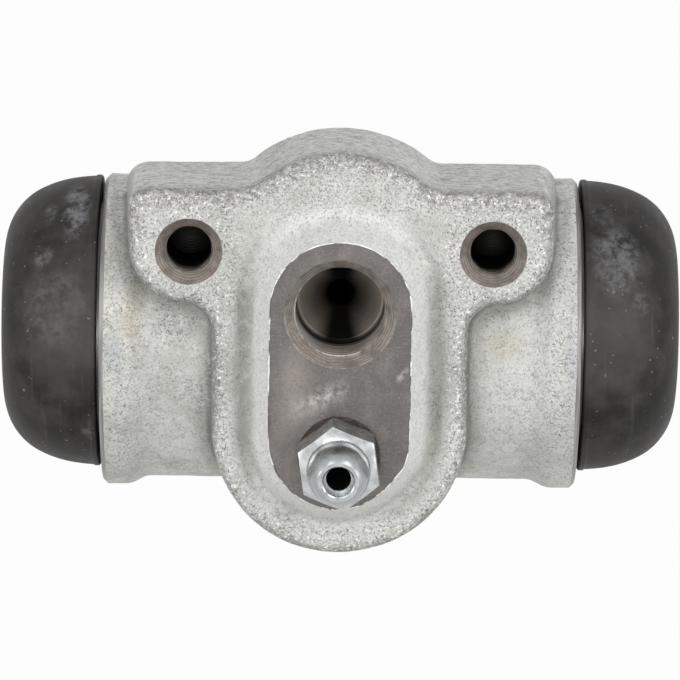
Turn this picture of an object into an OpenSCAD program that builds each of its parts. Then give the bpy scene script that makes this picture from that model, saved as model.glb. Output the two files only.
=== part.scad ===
// Drum brake wheel cylinder: a zinc-plated iron casting bored through for two
// opposed pistons, with rubber dust boots, an inlet port and a bleeder screw.
// Millimetres. Origin: midway between the two bolt holes on the mounting face.
// +X runs along the bore, -Y points out of the mounting face, +Z is up.

/* [Bore] */
// Diameter of the piston bore
bore_d = 22.22; // [20.5:0.01:23]
// From the mounting face back to the bore axis
bore_depth = 18.3; // [18:0.1:20]
// From the row of bolt holes down to the bore axis
bore_drop = 12.8; // [12.6:0.1:13.6]

/* [Barrel] */
// Length of the cast barrel between its two end faces
barrel_len = 54.2; // [52:0.1:58]
// Outside diameter of the barrel between its collars
barrel_d = 33.8; // [33:0.1:34.8]
// Outside diameter of the collar at each end
collar_d = 35.8; // [35:0.1:36.6]
// Width of a collar at its full diameter
collar_w = 2.6; // [2:0.1:3.4]
// Length of the curve that runs from a collar down to the barrel
collar_blend = 2.9; // [2:0.1:4]
// How far the casting sits below the bore axis
cast_drop = 1.0; // [0.4:0.1:1.2]
// Chamfer on the outer rim of each end face
collar_chamfer = 0.5; // [0.2:0.1:0.8]

/* [Neck] */
// Outside diameter of the turned neck that carries a boot
neck_d = 27.2; // [26.6:0.1:27.6]
// Length of the neck beyond the barrel
neck_len = 4.4; // [4.2:0.1:5]
// Width of the groove that holds the boot's bead
neck_groove_w = 1.8; // [1.4:0.1:2]
// Depth of that groove
neck_groove_h = 0.8; // [0.5:0.1:1]

/* [Flange] */
// Distance between the two bolt holes
bolt_spacing = 34; // [33:0.1:36]
// Radius of the ear round each bolt hole
ear_r = 6.45; // [6:0.05:7]
// How far an ear's centre lies outside its bolt hole
ear_out = 0.3; // [0:0.1:0.6]
// How far an ear's centre lies above its bolt hole
ear_rise = 0.45; // [0:0.05:0.8]
// Radius of an ear's upper outer corner
ear_corner = 2; // [1.6:0.1:3]
// Thickness of the ears, front to back
flange_t = 12.9; // [12:0.1:14]
// Draft of the flange's side walls, in degrees
side_draft = 3; // [1:0.5:4]
// Draft of the back of the flange, in degrees
rear_draft = 9; // [5:1:15]
// Half the width of the column that carries the boss
column_r = 14.35; // [13.8:0.05:15]
// Centre of the column's round foot, below the bore axis
column_low = 8.1; // [7.4:0.1:8.8]
// Radius of the hump above the boss
hump_r = 14.2; // [13.6:0.1:15]
// Centre of the hump's arc, above the bore axis
hump_rise = 9.8; // [9.4:0.1:10.2]
// Rounding of the flange's front edge
edge_r = 1.3; // [0.8:0.1:1.6]
// Fillet between an ear and the hump
hump_fillet = 1.2; // [0.8:0.1:2]
// Fillet between an ear and the column
ear_fillet = 3.5; // [2.6:0.1:4.4]

/* [Boss] */
// Height of the machined boss above the mounting face
boss_h = 3.4; // [3.2:0.1:4.5]
// Half the width of the machined face
boss_r = 7.9; // [7.6:0.1:8.2]
// Centre of the boss's upper arc, above the bore axis
boss_rise = 7.0; // [6.6:0.1:7.4]
// Fillet round the foot of the boss
boss_fillet = 3; // [2:0.1:3.1]

/* [Drilled holes] */
// Bore of the inlet port's thread
port_d = 10; // [9.2:0.1:10.2]
// Diameter of the inlet port's countersunk mouth
port_mouth_d = 12.5; // [11.8:0.1:13]
// Depth of the inlet port's thread
port_depth = 7; // [6.5:0.1:8]
// Height of the inlet port above the bore axis
port_rise = 6.6; // [6.2:0.1:7]
// Diameter of the drilling from the inlet port to the bore
passage_d = 3.1; // [2.6:0.1:3.4]
// Bore of the bleeder screw's thread
bleed_d = 7; // [6.6:0.1:7.2]
// Diameter of the countersink round the bleeder screw
bleed_mouth_d = 9.3; // [8.6:0.1:9.8]
// Depth of the bleeder screw's thread
bleed_depth = 10.2; // [9.8:0.1:10.8]
// Distance of the bleeder screw below the bore axis
bleed_drop = 9.8; // [9.4:0.1:10.1]
// Diameter of the drilling from the bleeder screw to the bore
bleed_passage_d = 2.6; // [2.2:0.1:2.8]
// Bore of a bolt hole's thread
bolt_d = 5; // [4.6:0.1:5.4]
// Diameter of a bolt hole's countersunk mouth
bolt_mouth_d = 7.6; // [6.8:0.1:8]
// Depth of a bolt hole's full bore
bolt_depth = 10; // [8:0.1:10.4]

/* [Bleeder screw] */
// Hexagon size across its flats
hex_af = 8.5; // [8:0.1:9]
// Length of the hexagon
hex_h = 4.7; // [4:0.1:6]
// Gap between the hexagon and the machined face
hex_gap = 1.0; // [0.6:0.1:2]
// Turn of the hexagon about its axis, in degrees
hex_turn = 8; // [0:1:30]
// Length of the hose nipple beyond the hexagon
nipple_h = 4.6; // [3.6:0.1:6]
// Largest diameter of the hose nipple
nipple_d = 6.4; // [6:0.1:6.6]
// Diameter of the flat ring at the nipple's tip
nipple_tip_d = 5.1; // [4.8:0.1:5.4]
// Diameter of the drilling through the screw
bleeder_hole_d = 2.8; // [2.2:0.1:3]
// Diameter of the wider mouth of that drilling
bleeder_mouth_d = 3.4; // [3.2:0.1:3.8]
// Depth of that mouth
bleeder_mouth_h = 1.6; // [1:0.1:2]

/* [Pistons and spring] */
// Overall length of a piston
piston_len = 20.3; // [18.6:0.1:21]
// Diameter of the piston's slotted nose
nose_d = 14; // [13.2:0.1:14.6]
// How far the nose stays behind the end of the boot
nose_recess = 0.4; // [0.2:0.1:1]
// Width of the slot that takes the shoe's web
slot_w = 5; // [4.6:0.1:6]
// Depth of that slot
slot_h = 5.5; // [5:0.1:6.2]
// Length of the rubber cup behind a piston
cup_len = 6; // [5.4:0.1:7]
// Depth of the cup's hollow
cup_hollow = 3.6; // [3:0.1:4]
// Thickness of the cup's lip
lip_t = 1.9; // [1.5:0.1:2.4]
// Sheet thickness of the expander
expander_t = 0.8; // [0.6:0.1:1]
// Wire diameter of the return spring
wire_d = 1.4; // [1:0.1:1.6]
// Coil diameter of the return spring, wire centre to wire centre
coil_d = 13.6; // [12:0.1:14.4]
// Turns of the return spring
coil_turns = 6; // [5:1:7]

/* [Boots] */
// Diameter of a boot at its lip
boot_d = 33.4; // [32.8:0.1:34]
// Length of a boot
boot_len = 11.4; // [11.1:0.1:12]
// Radius of the boot's outer corner
boot_corner = 7.4; // [6.6:0.1:7.8]
// How much a boot narrows from its lip to its corner
boot_taper = 0.7; // [0.4:0.1:1]
// Rise of the domed end of a boot
boot_dome = 0.35; // [0.2:0.05:0.6]
// Wall of a boot
boot_wall = 1.8; // [1.5:0.1:1.9]
// Gap between a boot's lip and the barrel
boot_gap = 0.45; // [0.3:0.05:0.8]

/* [Fits] */
// Radial clearance of pistons, cups and the bleeder screw in their bores
run_fit = 0.05; // [0.02:0.01:0.1]
// Clearance of rubber and pressed pieces where they seat
seat_fit = 0.15; // [0.1:0.05:0.3]

/* [Hidden] */
$fn = 96;
cut = 1;  // how far a cutter runs past the face that it opens
web_relief = 0.1;  // how far a fillet stops short of meeting its two sides exactly

bore_r = bore_d / 2;
neck_r = neck_d / 2;
barrel_end = barrel_len / 2;
neck_end = barrel_end + neck_len;
bolt_x = bolt_spacing / 2;
ear_x = bolt_x + ear_out;
ear_z = bore_drop + ear_rise;
ear_top = ear_z + ear_r;
ear_corner_x = ear_x + ear_r - ear_corner;
ear_corner_z = ear_top - ear_corner;
boss_y = bore_depth + boss_h;
collar_r = collar_d / 2;
barrel_r = barrel_d / 2;
bore_chamfer = 0.5;
drill_point = 59;  // half the angle of a drill's point

boot_start = barrel_end + boot_gap;
boot_end = boot_start + boot_len;
boot_r = boot_d / 2;
corner_r = boot_r - boot_taper - boot_corner;
corner_a = boot_len - boot_dome - boot_corner;
boot_lip_h = 0.6;
boot_lip_flare = 0.12;
collar_wall = 2.1;
collar_shoulder = 0.3;  // how far the inner collar reaches past its bead

nose_end = boot_end - nose_recess;
nose_r = nose_d / 2;
nose_flange = 1.5;
nose_groove_w = 2.0;
nose_groove_h = 1.0;
nose_chamfer = 0.4;
piston_in = nose_end - piston_len;
guide_recess = 0.5;  // how far the guide ends inside the neck
guide_end = neck_end - guide_recess;
piston_chamfer = 0.6;
cup_in = piston_in - cup_len;
cup_lip_in = bore_r - run_fit - lip_t;
cup_slope = 0.55;  // how steeply the inside of the lip narrows
cup_root_in = cup_lip_in - cup_hollow * cup_slope;
cup_heel = 0.4;  // how far the heel stays off the bore
lip_land = 1.2;
lip_bevel = 0.3;
expander_lap = 1.0;  // how far the plate reaches inside the coil
coil_gap = 0.08;  // gap between the closed turns at the spring's ends
skirt_h = cup_hollow - expander_t;
spring_end = cup_in - expander_t - seat_fit;

seat_angle = 45;
screw_r = bleed_d / 2 - run_fit;
screw_tip_rim = 0.4;  // flat ring left round the drilling at the screw's tip
screw_neck_h = 0.7;  // how far the neck under the hexagon lies below the thread
screw_thread_end = 1.6;  // depth at which the thread stops
screw_neck_slope = 0.6;
hex_chamfer_h = 1.3;  // height of the chamfer at the hexagon's outer end
hex_chamfer_w = 1.6;
hex_foot_chamfer = 0.3;
nipple_neck_len = 0.9;
nipple_neck_h = 0.5;
nipple_slope = 0.6;
nipple_round = 2.4;  // radius of the nipple's convex shoulder
hole_end = 2.0;  // how far the screw's drilling stops short of its seat
hole_bevel = 0.15;
cross_hole_d = 1.7;
undercut_w = 0.5;
undercut_h = 0.25;

// Puts a piece from the bore's own frame into the frame of the mounting face
module place() {
    translate([0, bore_depth, -bore_drop]) children();
}

// Turns a revolved shape so that its axis lies along the bore, growing to +X
module along_bore() {
    rotate([90, 0, 90]) children();
}

// Stands a shape on the plane y, growing out of the mounting side
module facing(y) {
    translate([0, y, 0]) rotate([90, 0, 0]) children();
}

// How far a drafted wall moves outwards over the depth d
function spread(d) = d * tan(side_draft);

// Disc with a rounded front rim and a drafted side
module rounded_disc(r, t) {
    side = t - edge_r;
    rotate_extrude() {
        polygon([[0, 0], [r + spread(side), 0], [r, side], [0, side]]);
        square([r - edge_r, t]);
        intersection() {
            translate([r - edge_r, side]) circle(edge_r);
            square([2 * r, 2 * t]);
        }
    }
}

// Bar of half width w from y0 to y1, with rounded front edges and drafted sides
module rounded_bar(w, y0, y1, t) {
    side = t - edge_r;
    foot = w + spread(side);
    translate([0, y1, 0]) rotate([90, 0, 0]) linear_extrude(y1 - y0) {
        polygon([[-foot, 0], [foot, 0], [w, side], [-w, side]]);
        translate([edge_r - w, 0]) square([2 * (w - edge_r), t]);
        for (s = [-1, 1]) translate([s * (w - edge_r), side]) circle(edge_r);
    }
}

// Cutter for an inside corner: drafted like the walls, flared so that it rounds the front edge
module flared_cutter(r, t) {
    side = t - edge_r;
    rotate_extrude() {
        polygon([[0, -cut], [r - spread(side + cut), -cut], [r, side], [0, side]]);
        difference() {
            translate([0, side]) square([r + edge_r, edge_r + cut]);
            translate([r + edge_r, side]) circle(edge_r);
        }
    }
}

// Web between two outlines, hollowed by a fillet of radius r about the point f
module corner_web(a, f, b, r, t) {
    difference() {
        linear_extrude(t) polygon([a, f, b]);
        translate([f[0], f[1], 0]) flared_cutter(r + web_relief, t);
    }
}

// Point on the line from p to q, at the distance d from p
function toward(p, q, d) = p + (q - p) * d / norm(q - p);

// Flange seen from the mounting side: hump, two ears and the round-footed column
module flange_block(t) {
    hump = [0, hump_rise];
    intersection() {
        translate([0, hump_rise, 0]) rounded_disc(hump_r, t);
        translate([-2 * hump_r, bore_drop, 0]) cube([4 * hump_r, 2 * hump_r, t]);
    }
    translate([0, -column_low, 0]) rounded_disc(column_r, t);
    rounded_bar(column_r, -column_low, bore_drop, t);
    rotate([0, 0, 90]) {
        translate([ear_z, 0, 0]) rounded_bar(ear_r, -ear_x, ear_x, t);
        translate([ear_z + ear_r / 2, 0, 0]) rounded_bar(ear_r / 2, -ear_corner_x, ear_corner_x, t);
    }
    for (s = [-1, 1]) {
        ear = [s * ear_x, ear_z];
        translate([ear[0], ear[1], 0]) rounded_disc(ear_r, t);
        translate([s * (ear_x + ear_r / 2), 0, 0]) rounded_bar(ear_r / 2, ear_z, ear_corner_z, t);
        translate([s * ear_corner_x, ear_corner_z, 0]) rounded_disc(ear_corner, t);

        top_z = ear_top + hump_fillet;
        top_x = sqrt(pow(hump_r + hump_fillet, 2) - pow(top_z - hump_rise, 2));
        top = [s * top_x, top_z];
        corner_web([s * top_x, ear_top - 2 * edge_r], top,
                   toward(hump, top, hump_r - 2 * edge_r), hump_fillet, t);

        low_x = column_r + ear_fillet;
        low_z = ear_z - sqrt(pow(ear_r + ear_fillet, 2) - pow(low_x - ear_x, 2));
        low = [s * low_x, low_z];
        corner_web([s * (column_r - 2 * edge_r), low_z], low,
                   toward(ear, low, ear_r - 2 * edge_r), ear_fillet, t);
    }
}

// The flange at its full thickness, its back sloped from the ears to hump and foot
module flange() {
    back_y = bore_depth - flange_t;
    reach = hump_rise + hump_r + column_low + column_r;
    lean = reach * tan(rear_draft);
    width = 2 * (ear_x + ear_r + spread(bore_depth) + cut);
    difference() {
        facing(0) flange_block(bore_depth);
        for (s = [-1, 1]) rotate([90, 0, 90]) linear_extrude(width, center = true)
            polygon([
                [cut, s * barrel_r / 2],
                [(ear_top - barrel_r / 2) * tan(rear_draft) - back_y, s * barrel_r / 2],
                [-back_y, s * ear_top],
                [-back_y - lean, s * (ear_top + reach)],
                [cut, s * (ear_top + reach)]
            ]);
    }
}

// Half profile of the boss: flat machined top, concave fillet at its foot
module boss_profile() {
    difference() {
        square([boss_r + boss_fillet, boss_h]);
        translate([boss_r + boss_fillet, boss_fillet]) circle(boss_fillet);
        translate([boss_r, boss_fillet]) square([2 * boss_fillet, boss_h]);
    }
}

// Obround boss that stands proud of the mounting face
module boss() {
    rise = [-column_low, boss_rise];
    facing(-bore_depth) {
        for (z = rise) translate([0, z, 0]) rotate_extrude() boss_profile();
        translate([0, boss_rise, 0]) rotate([90, 0, 0])
            linear_extrude(boss_rise + column_low)
                for (s = [0, 1]) mirror([s, 0]) boss_profile();
    }
}

// Half profile of the barrel: end chamfer, collar, then a cosine curve to the barrel
module barrel_profile() {
    steps = 10;
    start = barrel_end - collar_w - collar_blend;
    blend = [
        for (i = [0:steps])
            let (u = i / steps)
            [barrel_r + (collar_r - barrel_r) * (1 - cos(180 * u)) / 2, start + collar_blend * u]
    ];
    rim = [[collar_r, barrel_end - collar_chamfer], [collar_r - collar_chamfer, barrel_end]];
    polygon(concat([[0, 0], [barrel_r, 0]], blend, rim, [[0, barrel_end]]));
}

// Half profile of the turned neck with the groove for a boot's bead
module neck_profile() {
    difference() {
        square([neck_r, neck_end]);
        translate([neck_r - neck_groove_h, barrel_end + (neck_len - neck_groove_w) / 2])
            square([2 * neck_groove_h, neck_groove_w]);
    }
}

// Hole drilled straight in from the machined face: mouth, thread, seat and drilling
module seated_hole(r, mouth_r, depth, drill_r) {
    seat_h = (r - drill_r) / tan(seat_angle);
    translate([0, 0, -depth]) cylinder(r = r, h = depth + cut);
    translate([0, 0, r - mouth_r]) cylinder(r1 = r, r2 = mouth_r, h = mouth_r - r);
    translate([0, 0, -depth - seat_h]) cylinder(r1 = drill_r, r2 = r, h = seat_h);
    translate([0, 0, -boss_y + drill_r]) cylinder(r = drill_r, h = boss_y - depth);
}

// Blind tapped hole with a countersunk mouth and a drill-point end
module bolt_hole() {
    point_h = bolt_d / 2 / tan(drill_point);
    lip_h = (bolt_mouth_d - bolt_d) / 2;
    translate([0, 0, -bolt_depth]) cylinder(d = bolt_d, h = bolt_depth + cut);
    translate([0, 0, -bolt_depth - point_h]) cylinder(r1 = 0, d2 = bolt_d, h = point_h);
    translate([0, 0, -lip_h]) cylinder(d1 = bolt_d, d2 = bolt_mouth_d, h = lip_h);
}

module cylinder_body() {
    color([0.72, 0.73, 0.70]) place() difference() {
        union() {
            translate([0, 0, -cast_drop])
                for (s = [0, 1]) mirror([s, 0, 0]) along_bore() rotate_extrude() barrel_profile();
            for (s = [0, 1]) mirror([s, 0, 0]) along_bore() rotate_extrude() neck_profile();
            flange();
            boss();
        }
        along_bore() translate([0, 0, -neck_end - cut]) cylinder(r = bore_r, h = 2 * (neck_end + cut));
        for (s = [0, 1]) mirror([s, 0, 0]) along_bore() translate([0, 0, neck_end - bore_chamfer])
            cylinder(r1 = bore_r, r2 = bore_r + bore_chamfer, h = bore_chamfer);
        facing(-boss_y) {
            translate([0, port_rise, 0]) {
                seated_hole(port_d / 2, port_mouth_d / 2, port_depth, passage_d / 2);
                translate([0, 0, -port_depth]) cylinder(r = port_d / 2 + undercut_h, h = undercut_w);
            }
            translate([0, -bleed_drop, 0])
                seated_hole(bleed_d / 2, bleed_mouth_d / 2, bleed_depth, bleed_passage_d / 2);
        }
        facing(-bore_depth) for (s = [-1, 1]) translate([s * bolt_x, bore_drop, 0]) bolt_hole();
    }
}

// Half profile of the screw's shank: sealing cone, thread, and neck to the hexagon
module shank_profile() {
    tip_r = bleed_passage_d / 2 + screw_tip_rim;
    tip_h = (screw_r - tip_r) / tan(seat_angle);
    foot = -bleed_depth + seat_fit;
    shank_neck_r = screw_r - screw_neck_h;
    polygon([
        [0, foot - tip_h], [tip_r, foot - tip_h], [screw_r, foot],
        [screw_r, -screw_thread_end], [shank_neck_r, screw_neck_slope - screw_thread_end],
        [shank_neck_r, hex_gap], [0, hex_gap]
    ]);
}

// Half profile of the hose nipple: neck, barb and a convex shoulder to the flat tip
module nipple_profile() {
    barb = nipple_d / 2;
    barb_neck = barb - nipple_neck_h;
    sweep = acos(1 - (barb - nipple_tip_d / 2) / nipple_round);
    shoulder = nipple_h - nipple_round * sin(sweep);
    polygon([
        [0, 0], [barb_neck, 0], [barb_neck, nipple_neck_len],
        [barb, nipple_neck_len + nipple_slope], [barb, shoulder], [0, shoulder]
    ]);
    intersection() {
        translate([0, shoulder]) square([barb, nipple_h - shoulder]);
        translate([barb - nipple_round, shoulder]) circle(nipple_round);
    }
}

// Hexagon with a wide chamfer at its outer end and a small one at its foot
module screw_hexagon() {
    hex_r = hex_af / 2 / cos(30);
    intersection() {
        rotate([0, 0, 90 + hex_turn]) cylinder(r = hex_r, h = hex_h, $fn = 6);
        rotate_extrude() polygon([
            [0, 0], [hex_r - hex_foot_chamfer, 0], [hex_r + cut, hex_foot_chamfer + cut],
            [hex_r + cut, hex_h - hex_chamfer_h], [hex_r, hex_h - hex_chamfer_h],
            [hex_r - hex_chamfer_w, hex_h], [0, hex_h]
        ]);
    }
}

module bleeder_screw() {
    hex_top = hex_gap + hex_h;
    top = hex_top + nipple_h;
    foot = hole_end - bleed_depth;
    color([0.80, 0.82, 0.83]) place() facing(-boss_y) translate([0, -bleed_drop, 0]) difference() {
        union() {
            rotate_extrude() shank_profile();
            translate([0, 0, hex_gap]) screw_hexagon();
            translate([0, 0, hex_top]) rotate_extrude() nipple_profile();
        }
        translate([0, 0, foot]) cylinder(d = bleeder_hole_d, h = top - foot + cut);
        translate([0, 0, top - bleeder_mouth_h]) cylinder(d = bleeder_mouth_d, h = bleeder_mouth_h + cut);
        translate([0, 0, top - hole_bevel])
            cylinder(d1 = bleeder_mouth_d, d2 = bleeder_mouth_d + 2 * hole_bevel, h = hole_bevel);
        translate([0, 0, foot + cross_hole_d / 2]) rotate([90, 0, 0])
            cylinder(d = cross_hole_d, h = bleed_d + cut, center = true);
    }
}

// Half profile of a piston: chamfered guide, nose, groove for the boot's inner lip
module piston_profile() {
    guide_r = bore_r - run_fit;
    groove_out = nose_end - nose_flange;
    polygon([
        [0, piston_in], [guide_r - piston_chamfer, piston_in],
        [guide_r, piston_in + piston_chamfer], [guide_r, guide_end - piston_chamfer],
        [guide_r - piston_chamfer, guide_end], [nose_r, guide_end],
        [nose_r, groove_out - nose_groove_w], [nose_r - nose_groove_h, groove_out - nose_groove_w],
        [nose_r - nose_groove_h, groove_out], [nose_r, groove_out],
        [nose_r, nose_end - nose_chamfer], [nose_r - nose_chamfer, nose_end], [0, nose_end]
    ]);
}

module piston() {
    difference() {
        along_bore() rotate_extrude() piston_profile();
        translate([nose_end - slot_h, -slot_w / 2, -nose_d])
            cube([slot_h + cut, slot_w, 2 * nose_d]);
    }
}

// Rubber cup: a flat back against the piston and a lip that opens to the fluid
module cup() {
    wall_r = bore_r - run_fit;
    along_bore() rotate_extrude() polygon([
        [0, piston_in], [wall_r - cup_heel, piston_in], [wall_r, cup_in + lip_land],
        [wall_r, cup_in + lip_bevel], [wall_r - lip_bevel, cup_in],
        [cup_lip_in, cup_in], [cup_root_in, cup_in + cup_hollow], [0, cup_in + cup_hollow]
    ]);
}

// Pressed steel expander: a ring for the spring and a cone that holds the lip open
module expander() {
    slope = (cup_lip_in - cup_root_in) / cup_hollow;
    rim_r = cup_lip_in - seat_fit;
    end_r = rim_r - slope * skirt_h;
    eye_r = coil_d / 2 - wire_d - expander_lap;
    along_bore() rotate_extrude() polygon([
        [eye_r, cup_in - expander_t], [rim_r, cup_in - expander_t], [rim_r, cup_in],
        [end_r, cup_in + skirt_h], [end_r - expander_t, cup_in + skirt_h],
        [rim_r - expander_t, cup_in], [eye_r, cup_in]
    ]);
}

// Coil spring with one closed turn at each end, swept as a ring of sides per step
module coil_spring() {
    sides = 8;
    per_turn = 24;
    rings = coil_turns * per_turn;
    half = spring_end - wire_d / 2;
    close = wire_d + coil_gap;
    open = (2 * half - 2 * close) / (coil_turns - 2);
    function height(t) =
        t < 1 ? t * close :
        t > coil_turns - 1 ? 2 * half - (coil_turns - t) * close :
        close + (t - 1) * open;
    points = [
        for (i = [0:rings], k = [0:sides - 1])
            let (
                t = i / per_turn,
                a = 360 * t,
                b = 360 * k / sides,
                r = coil_d / 2 + wire_d / 2 * cos(b)
            )
            [height(t) - half + wire_d / 2 * sin(b), r * cos(a), r * sin(a)]
    ];
    walls = [
        for (i = [0:rings - 1], k = [0:sides - 1])
            let (n = (k + 1) % sides)
            [i * sides + k, i * sides + n, (i + 1) * sides + n, (i + 1) * sides + k]
    ];
    first = [for (k = [sides - 1:-1:0]) k];
    last = [for (k = [0:sides - 1]) rings * sides + k];
    polyhedron(points, concat(walls, [first, last]));
}

// Half profile of a boot's outside, or of its hollow when drawn inset by its wall
module boot_form(inset) {
    r = boot_corner - inset;
    top = corner_r + r;
    polygon([
        [0, 0], [boot_r - inset, 0], [top, corner_a], [corner_r, corner_a],
        [corner_r, corner_a + r], [0, corner_a + r + boot_dome]
    ]);
    intersection() {
        translate([corner_r, corner_a]) circle(r);
        square([boot_r, boot_len]);
    }
}

// Rubber boot: lip and bead on the neck, domed end, inner collar on the piston's nose
module boot() {
    seat_r = neck_r + seat_fit;
    bead_at = (neck_len - neck_groove_w) / 2 - boot_gap + seat_fit;
    bead_w = neck_groove_w - 2 * seat_fit;
    hole_r = nose_r + 2 * seat_fit;
    groove_at = nose_end - nose_flange - nose_groove_w + 2 * seat_fit - boot_start;
    groove_w = nose_groove_w - 4 * seat_fit;
    collar_in = groove_at - collar_shoulder;
    translate([boot_start, 0, 0]) along_bore() rotate_extrude() {
        difference() {
            union() {
                difference() {
                    boot_form(0);
                    difference() {
                        boot_form(boot_wall);
                        translate([seat_r, -cut]) square([boot_r, cut + boot_wall]);
                    }
                    translate([0, -cut]) square([seat_r, cut + neck_len]);
                }
                translate([hole_r, collar_in])
                    square([collar_wall, corner_a + boot_corner - boot_wall / 2 - collar_in]);
                translate([boot_r - boot_wall, 0])
                    square([boot_wall + boot_lip_flare, boot_lip_h]);
            }
            translate([0, -cut]) square([hole_r, boot_len + 2 * cut]);
        }
        translate([neck_r - neck_groove_h + seat_fit, bead_at])
            square([neck_groove_h + boot_wall, bead_w]);
        translate([nose_r - nose_groove_h + 2 * seat_fit, groove_at])
            square([nose_groove_h + collar_wall / 2, groove_w]);
    }
}

// A piece of the right-hand side, or its twin on the left
module on_side(left) {
    place() mirror([left ? 1 : 0, 0, 0]) children();
}

module left_piston() { color([0.66, 0.64, 0.58]) on_side(true) piston(); }
module right_piston() { color([0.66, 0.64, 0.58]) on_side(false) piston(); }
module left_cup() { color([0.08, 0.08, 0.08]) on_side(true) cup(); }
module right_cup() { color([0.08, 0.08, 0.08]) on_side(false) cup(); }
module left_expander() { color([0.55, 0.55, 0.53]) on_side(true) expander(); }
module right_expander() { color([0.55, 0.55, 0.53]) on_side(false) expander(); }
module return_spring() { color([0.45, 0.46, 0.47]) place() coil_spring(); }
module left_boot() { color([0.10, 0.10, 0.10]) on_side(true) boot(); }
module right_boot() { color([0.10, 0.10, 0.10]) on_side(false) boot(); }

cylinder_body();
bleeder_screw();
left_piston();
right_piston();
left_cup();
right_cup();
left_expander();
right_expander();
return_spring();
left_boot();
right_boot();
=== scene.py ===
import math

import bmesh
import bpy
import numpy as np
from mathutils import Matrix, Vector, noise


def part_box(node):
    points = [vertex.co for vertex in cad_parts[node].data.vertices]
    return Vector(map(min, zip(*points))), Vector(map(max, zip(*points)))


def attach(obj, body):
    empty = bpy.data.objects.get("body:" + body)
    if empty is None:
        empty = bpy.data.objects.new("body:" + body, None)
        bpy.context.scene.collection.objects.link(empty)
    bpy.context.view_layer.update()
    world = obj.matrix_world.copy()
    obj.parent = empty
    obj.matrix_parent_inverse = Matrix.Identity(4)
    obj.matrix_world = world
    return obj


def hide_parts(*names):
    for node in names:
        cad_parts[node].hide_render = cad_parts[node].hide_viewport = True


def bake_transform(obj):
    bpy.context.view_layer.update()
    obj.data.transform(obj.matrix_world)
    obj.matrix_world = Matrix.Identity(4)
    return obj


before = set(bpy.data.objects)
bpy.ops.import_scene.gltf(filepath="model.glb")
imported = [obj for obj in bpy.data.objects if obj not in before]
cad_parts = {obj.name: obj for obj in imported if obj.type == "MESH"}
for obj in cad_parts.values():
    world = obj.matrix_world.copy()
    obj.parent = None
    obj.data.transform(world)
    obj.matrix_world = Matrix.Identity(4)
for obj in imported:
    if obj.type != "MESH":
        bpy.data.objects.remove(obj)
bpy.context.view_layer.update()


# The casting
# One piece of iron from a sand mould, zinc plated: a barrel with two ears for the bolts, a hump and a
# round-footed column. The boss is milled flat, and bore, port and bolt holes are cut after plating.
mm = 0.001
BODY_LOW, BODY_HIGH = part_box("cylinder_body")
PISTON_LOW, PISTON_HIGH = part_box("right_piston")
BORE_Y = (PISTON_LOW.y + PISTON_HIGH.y) / 2
BORE_Z = (PISTON_LOW.z + PISTON_HIGH.z) / 2
MILLED_Y = BODY_LOW.y
BOSS_H = -MILLED_Y

BORE_R = 11.11 * mm
BARREL_END = 27.1 * mm
BARREL_R = 16.9 * mm
COLLAR_R = 17.9 * mm
COLLAR_BLEND = 2.9 * mm
COLLAR_W = 2.6 * mm
COLLAR_FOOT = BARREL_END - COLLAR_W - COLLAR_BLEND
CAST_DROP = 1.0 * mm
BOLT_X = 17.0 * mm
EAR_R = 6.45 * mm
EAR_CORNER = 2.0 * mm
EAR_X = BOLT_X + 0.3 * mm
EAR_Z = 0.45 * mm - BORE_Z
EAR_TOP = EAR_Z + EAR_R
HUMP_R = 14.2 * mm
HUMP_RISE = 9.8 * mm
COLUMN_R = 14.35 * mm
COLUMN_LOW = 8.1 * mm
BACK_Y = 12.9 * mm - BORE_Y
BACK_DRAFT = math.radians(9)
SIDE_DRAFT = math.radians(3)
EDGE_R = 1.4 * mm
TOP_EDGE_R = 1.0 * mm
TOP_EDGE_FADE = (EAR_TOP - 3 * mm, EAR_TOP - 1 * mm)
BACK_EDGE_R = 0.5 * mm
HUMP_FILLET = 1.2 * mm
EAR_FILLET = 3.5 * mm
BOSS_R = 7.9 * mm
BOSS_RISE = 7.0 * mm
BOSS_DRAFT = math.radians(33)
BOSS_FILLET = 0.9 * mm
BOSS_ROOT = 2.0 * mm
VALLEY_AT = 2.6 * mm
VALLEY_W = 1.0 * mm
VALLEY_H = 0.75 * mm
VALLEY_FADE = (17 * mm, 9 * mm)
FLAT_START_DEG = 22
FLAT_EASE_IN_DEG = 14
FLAT_END_DEG = 88
FLAT_EASE_OUT_DEG = 30
FLAT_DEPTH = 0.40 * mm
SAND_FILLET = 0.6 * mm
MILLING_STOCK = 1.2 * mm
FACING_STOCK = 1.0 * mm
FLASH_H = 0.28 * mm
FLASH_W = 0.5 * mm
FLASH_WAVES = (1.7 * mm, 0.63 * mm)
BACK_SKIN = 0.12 * mm
BACK_SKIN_FADE = (BORE_Y + 10 * mm, BORE_Y + 16 * mm)
NET_STEP = 0.40 * mm

# Swells and grains of the sand: how wide and how high each kind is
SAND_SWELLS = [(9.0 * mm, 0.10 * mm), (3.2 * mm, 0.05 * mm), (1.3 * mm, 0.035 * mm)]


def fillet_join(a, b, r):
    """Two forms joined with a hollow fillet of radius r."""
    return np.maximum(r, np.minimum(a, b)) - np.hypot(np.maximum(r - a, 0), np.maximum(r - b, 0))


def rounded_cut(a, b, r):
    """What two forms share, with its edge rounded to radius r."""
    return np.minimum(-r, np.maximum(a, b)) + np.hypot(np.maximum(r + a, 0), np.maximum(r + b, 0))


def smooth_step(value, low, high):
    """0 below low, 1 above high, easing between."""
    t = np.clip((value - low) / (high - low), 0, 1)
    return t * t * (3 - 2 * t)


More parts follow.
